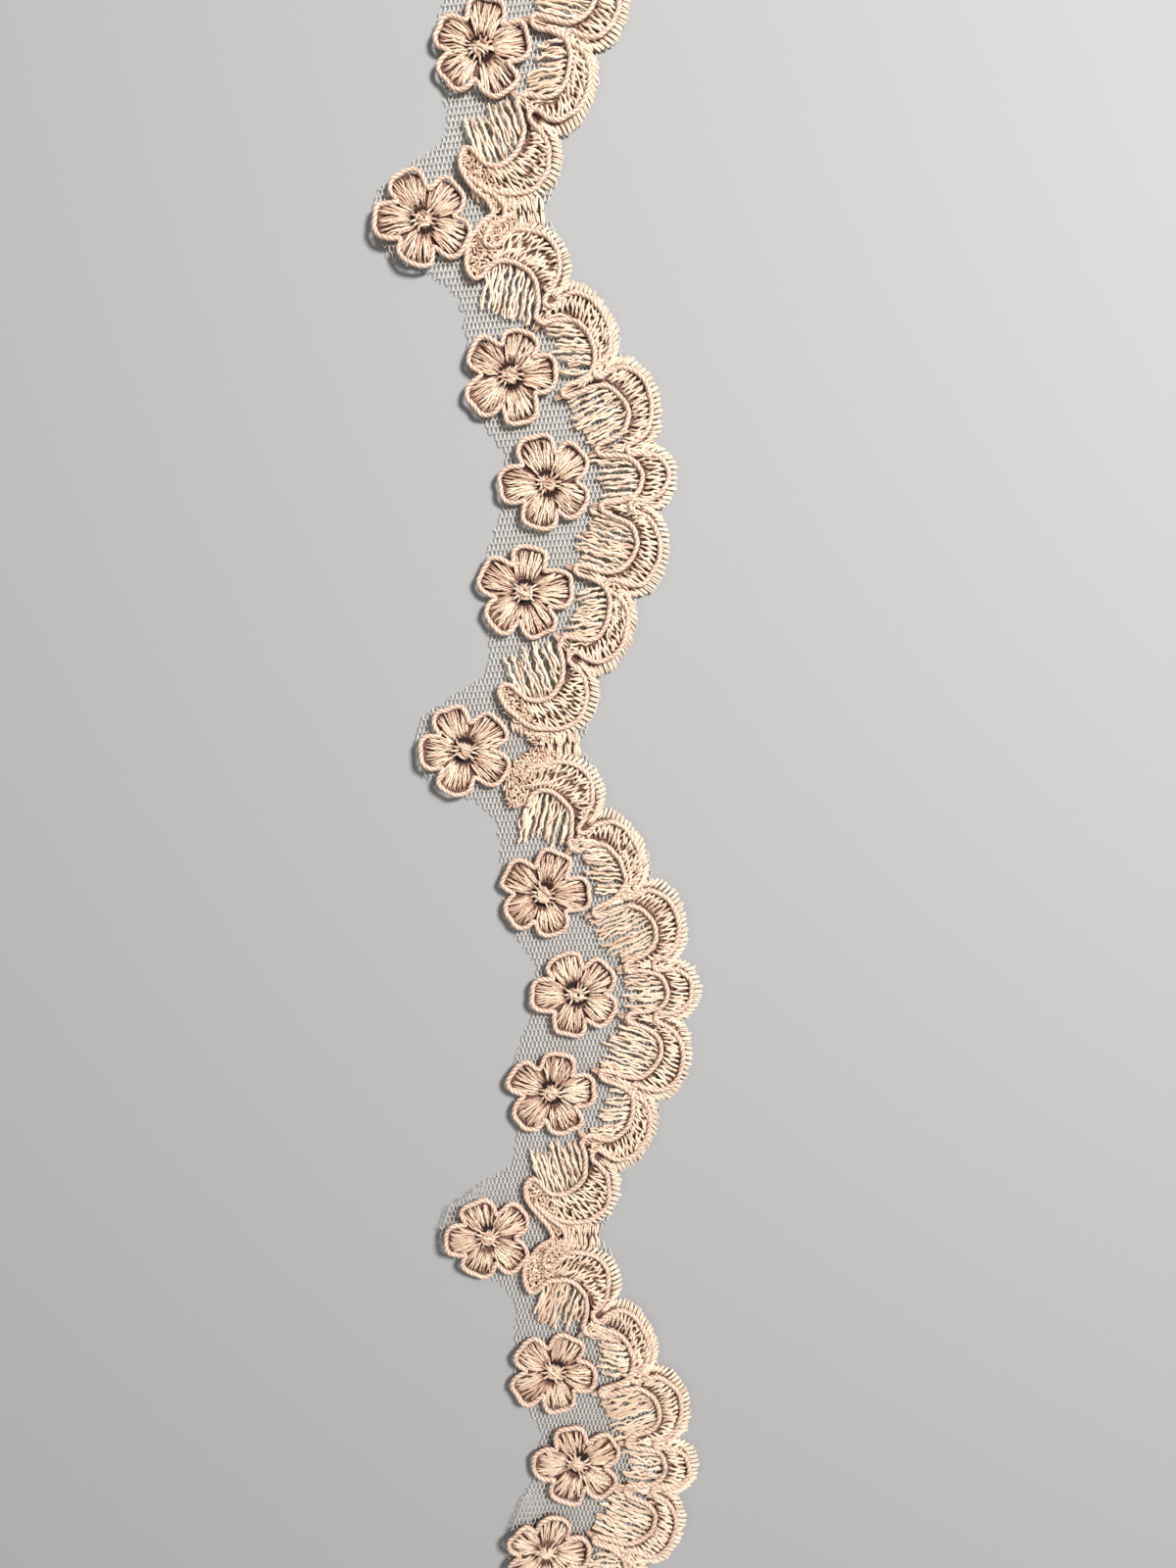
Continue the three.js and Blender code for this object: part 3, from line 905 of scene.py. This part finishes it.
def corner_frame(ends, corner):
    """A corner of a cord, the ways inwards and along the border, and the tongue's reach there."""
    before, after = ends[corner] - ends[corner - 1], ends[corner + 1] - ends[corner]
    forward = (before.normalized() + after.normalized()).normalized()
    row = min(abs(corner - MIDDLE_FAN), abs(corner - MIDDLE_FAN - 1))
    return ends[corner], Vector((-forward.y, forward.x)), forward, FANS[row][12]


def tongue_outline(repeat, corner, height):
    """The outline of the bed under a tongue."""
    tip, inward, forward, reach = corner_frame(TIPS, corner)
    places = (
        (-1.0, -2.0), (-0.75, reach + 0.2), (0.0, reach + 0.9), (0.75, reach + 0.2), (1.0, -2.0),
    )
    spots = [tip + forward * aside + inward * further for aside, further in places]
    return [placed(repeat, spot.y, spot.x, height) for spot in spots]


def band_outline(repeat, index, height):
    """The outline of the bed under a fan's band."""
    first, last = band_limits(index)
    turns = [first + (last - first) * i / BAND_STEPS for i in range(BAND_STEPS + 1)]
    outer = [on_arch(index, "cusp", turn) for turn in turns]
    inner = [on_arch(index, "tip", turn) for turn in reversed(turns)]
    line = [placed(repeat, spot.y, spot.x, height) for spot in outer + inner]
    return line[::-1]


for repeat in range(len(runs)):
    chance = random.Random(100 + repeat)
    stitches = []
    outlines = []
    for index in range(FAN_COUNT):
        stitches += band_stitches(repeat, index, chance)
        outlines.append(band_outline(repeat, index, PAD_TOP - 0.02 * (index % 2)))
    for corner in range(1, FAN_COUNT):
        outlines.append(tongue_outline(repeat, corner, PAD_TOP - 0.04))
    extruded(f"border_underlay_{repeat + 1}", outlines, PAD_TOP - PAD_BASE, shaded_pad_material)
    piece = sewn(f"border_satin_{repeat + 1}", stitches, satin_material, {
        "Points": 8, "Bow": 0.00025, "Flatness": 0.9, "Waver": 0.0014,
    })
    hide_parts(f"border_{repeat + 1}")


# COMB STITCHES
# Inside each arch of the inner cord, separate long stitches stand side by side like the teeth of a
# comb, with the open net between them and their free ends uneven. In each tongue between two arches
# three long threads lie between its cords and end in a nib past it.

COMB_PITCH = 1.3
COMB_HALF = 0.34
COMB_HEIGHT = 1.1
COMB_RAGGED = 1.5
TONGUE_THREADS = (-0.45, 0.0, 0.45)
NIB = 1.9

tip_material = thread_material("dusty pink rayon ends", PAINTED_TIP_SHADE)


def comb_stitches(repeat, index, chance):
    """The comb of one fan, each tooth a pair of threads."""
    row = fan_row(index)
    short, slant = row[10], row[11]
    side = (index > MIDDLE_FAN) - (index < MIDDLE_FAN)
    before, after = TIPS[index], TIPS[index + 1]
    chord = after - before
    forward = chord.normalized()
    inward = Vector((-chord.y, chord.x)).normalized()
    count = round((chord.length - 1.6) / COMB_PITCH)
    stitches = []
    for i in range(count):
        share = (i + 0.5) / count * 0.86 + 0.07
        turn = math.acos(1 - 2 * share)
        top = on_arch(index, "tip", turn)
        stop = short * math.sin(turn) + chance.uniform(-COMB_RAGGED, COMB_RAGGED)
        end = before + chord * share + inward * (COMB_REACH - stop)
        end += forward * (side * slant * (top - end).length)
        way = (end - top).normalized()
        drift = forward * chance.uniform(-0.25, 0.25)
        for strand in (-1, 1):
            half = COMB_HALF * chance.uniform(0.75, 1.05)
            move = forward * (strand * half * 0.55)
            head = end + move * 0.8 + drift + way * chance.uniform(-0.45, 0.25)
            rise = chance.uniform(0.0, 0.3)
            stitches.append(stitch_between(
                repeat, top + move, head, COMB_HEIGHT + 0.35, COMB_HEIGHT + rise, half,
                0.4 + 0.6 * chance.random(), 0.25,
            ))
    return stitches


def tongue_stitches(repeat, corner, chance):
    """Long stitches between the two cords of a tongue, which end in a small nib past it."""
    tip, inward, forward, reach = corner_frame(TIPS, corner)
    stitches = []
    for aside in TONGUE_THREADS:
        foot = tip + forward * (aside * 1.6) - inward * chance.uniform(1.6, 2.4)
        head = tip + forward * (aside * 0.8) + inward * (reach + NIB + chance.uniform(-0.2, 0.3))
        stitches.append(stitch_between(
            repeat, foot, head, SATIN_LOW + 0.3, SATIN_LOW - 0.1, 0.27, chance.random()
        ))
    return stitches


for repeat in range(len(runs)):
    chance = random.Random(200 + repeat)
    stitches = []
    for corner in range(1, FAN_COUNT):
        stitches += tongue_stitches(repeat, corner, chance)
    sewn(f"tongue_threads_{repeat + 1}", stitches, tip_material, {
        "Bow": 0.00025, "Flatness": 0.9, "End share": 0.7,
    })
    stitches = []
    for index in range(FAN_COUNT):
        stitches += comb_stitches(repeat, index, chance)
    sewn(f"comb_stitches_{repeat + 1}", stitches, tip_material, {
        "Points": 12, "Bow": 0.0002, "Flatness": 1.0, "End share": 0.9, "Waver": 0.0024,
        "Apart": 1.6,
    })


# PICOT EDGE
# Short stitches that stick out past the outer cord and bind the cut edge of the net.

PICOT_PITCH = 1.08
PICOT_LENGTH = 2.25
PICOT_HALF = 0.25
NOTCH_STITCHES = 3


def picots(repeat, index, chance):
    """The short stitches along the outside of one fan, each a pair of threads."""
    stitches = []
    for turn in even_turns(index, 0.0, math.pi, PICOT_PITCH):
        outward = edge_direction(index, turn)
        aside = Vector((outward.y, -outward.x))
        outer = on_arch(index, "cusp", turn)
        length = PICOT_LENGTH * chance.uniform(0.82, 1.08)
        for strand in (-1, 1):
            foot = outer + aside * (strand * 0.2) - outward * 0.2
            head = outer + aside * (strand * 0.16 + chance.uniform(-0.08, 0.08))
            head += outward * length * chance.uniform(0.94, 1.05)
            head.y = min(max(head.y, -0.2), REPEAT + 0.2)
            half = PICOT_HALF * chance.uniform(0.88, 1.1)
            stitches.append(
                stitch_between(repeat, foot, head, 1.5, 1.05, half, 0.5 + 0.5 * chance.random())
            )
    if index < FAN_COUNT - 1:
        corner = CUSPS[index + 1]
        outward = edge_direction(index, math.pi)
        aside = Vector((outward.y, -outward.x))
        for i in range(NOTCH_STITCHES):
            shift_aside = aside * ((i + 0.5) / NOTCH_STITCHES - 0.5) * 2.4
            foot = corner + shift_aside * 0.7 - outward * 0.3
            head = corner + shift_aside + outward * PICOT_LENGTH * chance.uniform(0.7, 1.0)
            stitches.append(
                stitch_between(repeat, foot, head, 1.5, 1.05, PICOT_HALF, chance.random())
            )
    return stitches


for repeat in range(len(runs)):
    chance = random.Random(300 + repeat)
    stitches = []
    for index in range(FAN_COUNT):
        stitches += picots(repeat, index, chance)
    sewn(f"picot_edge_{repeat + 1}", stitches, tip_material, {
        "Points": 5, "Bow": 0.00015, "Flatness": 0.9, "End share": 0.75,
    })


# JOINTS BETWEEN REPEATS
# Beside each valley flower the ends of two repeats meet on a ground filled with short scattered
# seed stitches. A bridge of upright stitches joins their edges on its right.

JOINT_BEDS = (
    ((13.4, -10.2), (12.2, -12.0), (10.6, -13.1), (9.3, -12.7), (8.4, -10.8), (8.2, -8.0),
     (9.1, -5.1), (10.9, -2.7), (13.2, -1.0), (15.2, -0.1), (17.6, -0.1), (19.6, -1.2),
     (19.2, -3.2), (17.0, -3.4)),
    ((13.4, 10.2), (17.0, 3.4), (19.2, 3.2), (19.6, 1.4), (17.6, 0.3), (15.2, 0.3), (13.3, 3.4),
     (11.2, 5.5), (9.5, 7.5), (8.7, 9.8), (8.9, 12.3), (9.9, 13.6), (11.3, 13.5), (12.5, 12.0)),
)
BRIDGE_BEDS = (
    ((17.0, -3.0), (19.0, -2.9), (22.2, -3.2), (24.2, -2.8), (25.2, -0.1), (17.0, -0.1)),
    ((17.0, 3.0), (17.0, 0.1), (25.2, 0.1), (24.2, 2.8), (22.2, 3.2), (19.0, 2.9)),
)
CUT_BACK = 0.15
SEED_PITCH = 0.62
SEED_LENGTH = 1.3
SEED_HALF = 0.27
BRIDGE_PITCH = 0.95


def within(outline, spot):
    """Whether a flat place lies within an outline."""
    inside = False
    for (x1, y1), (x2, y2) in zip(outline, outline[1:] + outline[:1]):
        if (y1 > spot.y) != (y2 > spot.y) and spot.x < x1 + (spot.y - y1) * (x2 - x1) / (y2 - y1):
            inside = not inside
    return inside


def seed_stitches(repeat, outline, chance, height):
    """Short stitches scattered over a bed on a shaken grid, each in a direction of its own."""
    stitches = []
    xs = [x for x, _ in outline]
    ys = [y for _, y in outline]
    for column in range(int((max(xs) - min(xs)) / SEED_PITCH) + 1):
        for row in range(int((max(ys) - min(ys)) / SEED_PITCH) + 1):
            spot = Vector((min(xs) + column * SEED_PITCH, min(ys) + row * SEED_PITCH))
            spot += Vector((chance.uniform(-0.25, 0.25), chance.uniform(-0.25, 0.25)))
            if not within(list(outline), spot):
                continue
            turn = chance.uniform(0, math.pi)
            way = Vector((math.cos(turn), math.sin(turn))) * SEED_LENGTH / 2
            level = height + chance.uniform(-0.1, 0.4)
            stitches.append(stitch_between(
                repeat, spot - way, spot + way, level, level, SEED_HALF, chance.random(), 0.1
            ))
    return stitches


def bridge_stitches(repeat, outline, chance, height):
    """Upright stitches side by side across half of a bridge, two threads to a stitch."""
    left = min(x for x, _ in outline)
    right = max(x for x, _ in outline)
    edge = max((y for _, y in outline), key=abs)
    count = round((right - left) / BRIDGE_PITCH)
    stitches = []
    for i in range(count):
        across = left + (i + 0.5) * BRIDGE_PITCH
        drift = chance.uniform(-0.5, 0.5)
        for strand in (-0.2, 0.2):
            foot = Vector((across + strand, edge * chance.uniform(0.75, 1.0)))
            head = Vector((across + strand + drift, edge * chance.uniform(-0.3, 0.2)))
            level = height + chance.uniform(0.0, 0.3)
            stitches.append(stitch_between(
                repeat, foot, head, level, level, SEED_HALF, 0.5 + 0.5 * chance.random()
            ))
    return stitches


for repeat in range(len(runs) + 1):
    chance = random.Random(400 + repeat)
    stitches = []
    outlines = []
    for beds, top, fill in (
        (JOINT_BEDS, PAD_TOP - 0.04, seed_stitches), (BRIDGE_BEDS, 1.0, bridge_stitches)
    ):
        for half, outline in enumerate(beds):
            if (repeat == 0 and half == 0) or (repeat == len(runs) and half == 1):
                continue
            outlines.append([placed(repeat, y, x, top) for x, y in outline])
            stitches += fill(repeat, outline, chance, top + 0.2)
    extruded(f"joint_underlay_{repeat + 1}", outlines, PAD_TOP - PAD_BASE, shaded_pad_material)
    sewn(f"seed_stitches_{repeat + 1}", stitches, satin_material, {
        "Points": 5, "Bow": 0.00015, "Flatness": 0.9,
    })


# COUCHED CORDS
# A three-ply cord laid round each petal and along both sides of the border and sewn down. On the
# border it doubles back at every corner, and at the tips of the inner line it makes a tongue.

CORD_RADIUS = 0.55
CORD_LAY = 3.6
CORD_STEP = 0.26
CORD_HEIGHT = 2.15
CORD_SIDES = 9
PLIES = 3


def cord_tree():
    """Lines of a mesh as a twisted cord of three plies."""
    tree = node_tree("Twisted cord", (
        ("Radius", "NodeSocketFloat", 0.0006),
        ("Lay", "NodeSocketFloat", 0.0035),
        ("Step", "NodeSocketFloat", 0.0003),
        ("Sides", "NodeSocketInt", CORD_SIDES),
        ("Ply depth", "NodeSocketFloat", 0.05),
        ("Waver", "NodeSocketFloat", 0.0014),
        ("Material", "NodeSocketMaterial", None),
    ))
    start = tree.nodes.new("NodeGroupInput").outputs
    curve = node(tree, "GeometryNodeMeshToCurve", Mesh=start["Geometry"]).outputs[0]
    curve = node(
        tree, "GeometryNodeResampleCurve", {"mode": "LENGTH"}, Curve=curve, Length=start["Step"]
    ).outputs[0]
    curve = wavered(tree, curve, 3.0, 240.0, start["Waver"])
    curve = node(tree, "GeometryNodeSetCurveNormal", {"mode": "Z_UP"}, Curve=curve).outputs[0]
    along = tree.nodes.new("GeometryNodeSplineParameter").outputs["Factor"]
    curve, along = captured(tree, curve, along)
    length = tree.nodes.new("GeometryNodeSplineLength").outputs["Length"]
    turns = sums(tree, "ROUND", sums(tree, "DIVIDE", length, start["Lay"]))
    tilt = sums(tree, "MULTIPLY", sums(tree, "MULTIPLY", along, turns), 2 * math.pi)
    curve = node(tree, "GeometryNodeSetCurveTilt", Curve=curve, Tilt=tilt).outputs[0]
    place = tree.nodes.new("GeometryNodeInputPosition").outputs[0]
    noise = node(tree, "ShaderNodeTexNoise", Vector=place, Scale=260.0, Detail=1.0).outputs[0]
    scale = sums(tree, "ADD", sums(tree, "MULTIPLY", noise, 0.44), 0.78)
    curve, scale = captured(tree, curve, scale)
    ring = node(
        tree, "GeometryNodeCurvePrimitiveCircle", Resolution=start["Sides"],
        Radius=start["Radius"],
    ).outputs[0]
    around = tree.nodes.new("GeometryNodeSplineParameter").outputs["Factor"]
    ring, around = captured(tree, ring, around)
    lobe = sums(tree, "COSINE", sums(tree, "MULTIPLY", around, 2 * math.pi * PLIES))
    share = sums(tree, "ADD", sums(tree, "MULTIPLY", lobe, start["Ply depth"]), 1.0)
    spot = tree.nodes.new("GeometryNodeInputPosition").outputs[0]
    moved = node(tree, "ShaderNodeVectorMath", {"operation": "SCALE"}, _0=spot, _3=share)
    ring = node(
        tree, "GeometryNodeSetPosition", Geometry=ring, Position=moved.outputs[0]
    ).outputs[0]
    tube = node(
        tree, "GeometryNodeCurveToMesh", _0=curve, _1=ring, _2=scale, _3=True
    ).outputs[0]
    finish_tree(tree, tube, along, around, start["Material"])
    return tree


cord_material, tree, shader = principled("pale pink cord", {
    "Roughness": 0.5, "Sheen Weight": 0.35, "Sheen Roughness": 0.4,
})
own_map = node(tree, "ShaderNodeUVMap", {"uv_map": "OFBake"}).outputs[0]
parts = node(tree, "ShaderNodeSeparateXYZ", _0=own_map)
# Painted shade: each ply is dark in the grooves between plies and light along its crest.
ply_groove_shade = sums(tree, "COSINE", sums(tree, "MULTIPLY", parts.outputs[1], 2 * math.pi * PLIES))
ply_groove_shade = sums(tree, "ADD", sums(tree, "MULTIPLY", ply_groove_shade, 0.5), 0.5)
tint = ramp(tree, ply_groove_shade, (
    (0.0, 0.46, 0.26, 0.18), (0.4, 0.76, 0.52, 0.39), (1.0, 0.91, 0.695, 0.545),
))
tree.links.new(tint, shader.inputs["Base Color"])
place = tree.nodes.new("ShaderNodeTexCoord").outputs["Object"]
fibre = node(tree, "ShaderNodeTexNoise", Vector=place, Scale=7000.0, Detail=2.0)
bump = node(tree, "ShaderNodeBump", Strength=0.35, Distance=0.00006, Height=fibre.outputs[0])
tree.links.new(bump.outputs[0], shader.inputs["Normal"])

TONGUE_HALF = 1.1
TONGUE_SHORT = 1.0
CUSP_HALF = 1.35
LINE_STEP = 0.35
ARCH_STEPS = 40
ROUND_STEPS = 8


def softened(line, passes, closed):
    """A line with its points drawn towards their neighbours, which rounds its corners."""
    for _ in range(passes):
        moved = []
        for i, point in enumerate(line):
            if not closed and i in (0, len(line) - 1):
                moved.append(point)
                continue
            around = line[i - 1] + line[(i + 1) % len(line)]
            moved.append(point * 0.5 + around * 0.25)
        line = moved
    return line


def evenly(line, step):
    """Points at an even step along a flat line."""
    reach = by_length(line)
    count = max(round(reach[-1] / step), 2)
    wanted = numpy.linspace(0, reach[-1], count + 1)
    xs = numpy.interp(wanted, reach, [p.x for p in line])
    ys = numpy.interp(wanted, reach, [p.y for p in line])
    return [Vector((x, y)) for x, y in zip(xs, ys)]


def turn_round(kind, corner):
    """The way the cord takes round a corner, from the end of one arch to the start of the next."""
    spot, inward, forward, tongue = corner_frame(CUSPS if kind == "cusp" else TIPS, corner)
    half = CUSP_HALF if kind == "cusp" else TONGUE_HALF
    reach = NOTCH_DEPTH if kind == "cusp" else tongue - TONGUE_SHORT
    line = []
    for i in range(ROUND_STEPS + 1):
        angle = math.pi * i / ROUND_STEPS
        line.append(spot + inward * (reach + half * math.sin(angle))
                    - forward * (half * math.cos(angle)))
    return line


def scalloped(kind, first_turn, last_turn):
    """The line of the outer or the inner cord over a repeat, as (across, along) points."""
    half = CUSP_HALF if kind == "cusp" else TONGUE_HALF
    line = []
    for index in range(FAN_COUNT):
        start = first_turn if index == 0 else 0.0
        stop = last_turn if index == FAN_COUNT - 1 else math.pi
        for i in range(ARCH_STEPS + 1):
            turn = start + (stop - start) * i / ARCH_STEPS
            line.append(on_arch(index, kind, turn, half))
        if index < FAN_COUNT - 1:
            line += turn_round(kind, index + 1)
    return line


JOINT_LINES = (
    # The left outline from the arch below a valley flower, round its right side, to the arch above.
    ((16.8, -9.5), (14.2, -9.7), (12.6, -10.8), (11.2, -12.6), (9.6, -12.9), (8.5, -11.2),
     (8.2, -8.2), (9.1, -5.2), (10.9, -2.7), (13.2, -1.0), (15.2, 0.2), (13.4, 3.2), (11.2, 5.4),
     (9.6, 7.4), (8.8, 9.6), (8.9, 12.2), (9.9, 13.6), (11.2, 13.4), (12.4, 11.8), (14.2, 9.9),
     (16.8, 9.5)),
    # The cord beside it, which hooks round and goes on as the outer cord of the arch below.
    ((10.6, 7.7), (12.0, 6.3), (13.7, 4.9), (15.5, 3.5), (17.1, 2.2), (17.8, 0.6), (17.2, -1.0),
     (15.5, -1.9), (13.7, -2.9), (12.6, -4.4), (12.6, -6.1), (13.8, -7.1), (15.3, -6.6),
     (16.3, -5.2), (17.2, -4.1), (18.5, -3.65)),
)

# At one joint the machine left these cords out, and the outer cord runs on round the horn instead.
PLAIN_JOINT = 2
PLAIN_LINES = (
    ((12.2, 6.4), (10.4, 8.2), (9.0, 10.4), (8.6, 12.8), (9.8, 14.0), (11.4, 13.4), (12.6, 11.6),
     (14.2, 9.9), (16.8, 9.5)),
    ((13.4, -12.6), (13.8, -11.2), (14.8, -9.9), (16.8, -9.5)),
    ((13.6, -5.0), (15.4, -4.4), (17.6, -4.3), (19.4, -4.9)),
)


def cord_source(name, lines):
    """A mesh of lines for cords, given as (points, closed)."""
    points = []
    edges = []
    for line, closed in lines:
        base = len(points)
        points += line
        edges += [(base + i, base + i + 1) for i in range(len(line) - 1)]
        if closed:
            edges.append((base + len(line) - 1, base))
    mesh = bpy.data.meshes.new(name)
    mesh.from_pydata(points, edges, [])
    return mesh


cord = cord_tree()


def corded(name, lines):
    """One piece of the embroidery: cord laid along lines, given as for cord_source."""
    piece = grown(name, cord_source(name, lines), cord, {
        "Radius": CORD_RADIUS * MM, "Lay": CORD_LAY * MM, "Step": CORD_STEP * MM,
        "Material": cord_material,
    })
    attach(piece, "root")


for repeat in range(len(runs) + 1):
    lines = []
    for flower in flowers_of(repeat):
        line = flower_outline(repeat, flower, 0.0, CORD_HEIGHT)
        lines.append((softened(line, 2, True), True))
    corded(f"petal_cords_{repeat + 1}", lines)

# At a hooked joint the outer cord stops early, where the hooked cord takes its place.
HOOKED_STOP = 0.74
PLAIN_STOP = 0.96

for repeat in range(len(runs)):
    lines = []
    stop = PLAIN_STOP if repeat + 1 == PLAIN_JOINT else HOOKED_STOP
    for kind, first, last in (("cusp", 0.04, stop), ("tip", 0.4, 0.6)):
        line = scalloped(kind, first * math.pi, last * math.pi)
        line = softened(evenly(line, LINE_STEP), 3, False)
        lines.append(([placed(repeat, p.y, p.x, CORD_HEIGHT) for p in line], False))
    corded(f"border_cords_{repeat + 1}", lines)

joint_lines = []
for repeat in range(len(runs) + 1):
    for points in PLAIN_LINES if repeat == PLAIN_JOINT else JOINT_LINES:
        line = softened(evenly([Vector(point) for point in points], LINE_STEP), 8, False)
        if repeat == 0:
            line = [p for p in line if p.y > CUT_BACK]
        if repeat == len(runs):
            line = [p for p in line if p.y < -CUT_BACK]
        joint_lines.append(([placed(repeat, p.y, p.x, CORD_HEIGHT) for p in line], False))
corded("joint_cords", joint_lines)


# FLOOR, LIGHT AND CAMERA
# A plain pale floor, a soft lamp above on the right, a large faint one on the left, and the camera
# looking down on the trim at a slight tilt.

FLOOR_HALF = 9.0
floor_mesh = bpy.data.meshes.new("floor")
floor_corners = [
    (FLOOR_HALF * x, FLOOR_HALF * y, 0.0) for x, y in ((-1, -1), (1, -1), (1, 1), (-1, 1))
]
floor_mesh.from_pydata(floor_corners, [], [(0, 1, 2, 3)])
floor = bpy.data.objects.new("floor", floor_mesh)
bpy.context.scene.collection.objects.link(floor)
floor_material, tree, shader = principled("pale floor", {
    "Base Color": (0.37, 0.37, 0.37, 1.0), "Roughness": 0.9,
})
floor_mesh.materials.append(floor_material)

LAMPS = (
    # name, place in metres, size in metres, watts
    ("key_lamp", (0.5, 0.35, 0.75), 0.2, 14.0),
    ("fill_lamp", (-0.7, -0.3, 0.8), 0.8, 1.8),
)
for name, place, size, power in LAMPS:
    data = bpy.data.lights.new(name, "AREA")
    data.size = size
    data.energy = power
    lamp = bpy.data.objects.new(name, data)
    lamp.location = place
    lamp.rotation_euler = (-Vector(place)).to_track_quat("-Z", "Y").to_euler()
    bpy.context.scene.collection.objects.link(lamp)

world = bpy.data.worlds.new("soft room")
bpy.context.scene.world = world
world.use_nodes = True
room = world.node_tree.nodes["Background"].inputs
room["Color"].default_value = (1.0, 0.97, 0.93, 1.0)
room["Strength"].default_value = 0.25
bpy.context.scene.view_settings.view_transform = "Standard"

CAMERA_HEIGHT = 0.25
CAMERA_ALONG = 21.9
CAMERA_TILT = -5.0
CAMERA_LENS = 25.99
camera_data = bpy.data.cameras.new("camera")
camera_data.sensor_width = 36.0
camera_data.lens = CAMERA_LENS
camera_data.clip_start = 0.01
camera = bpy.data.objects.new("camera", camera_data)
camera.location = (shift.x * MM, (shift.y + CAMERA_ALONG) * MM, CAMERA_HEIGHT)
camera.rotation_euler = (math.radians(CAMERA_TILT), 0.0, 0.0)
bpy.context.scene.collection.objects.link(camera)
bpy.context.scene.camera = camera
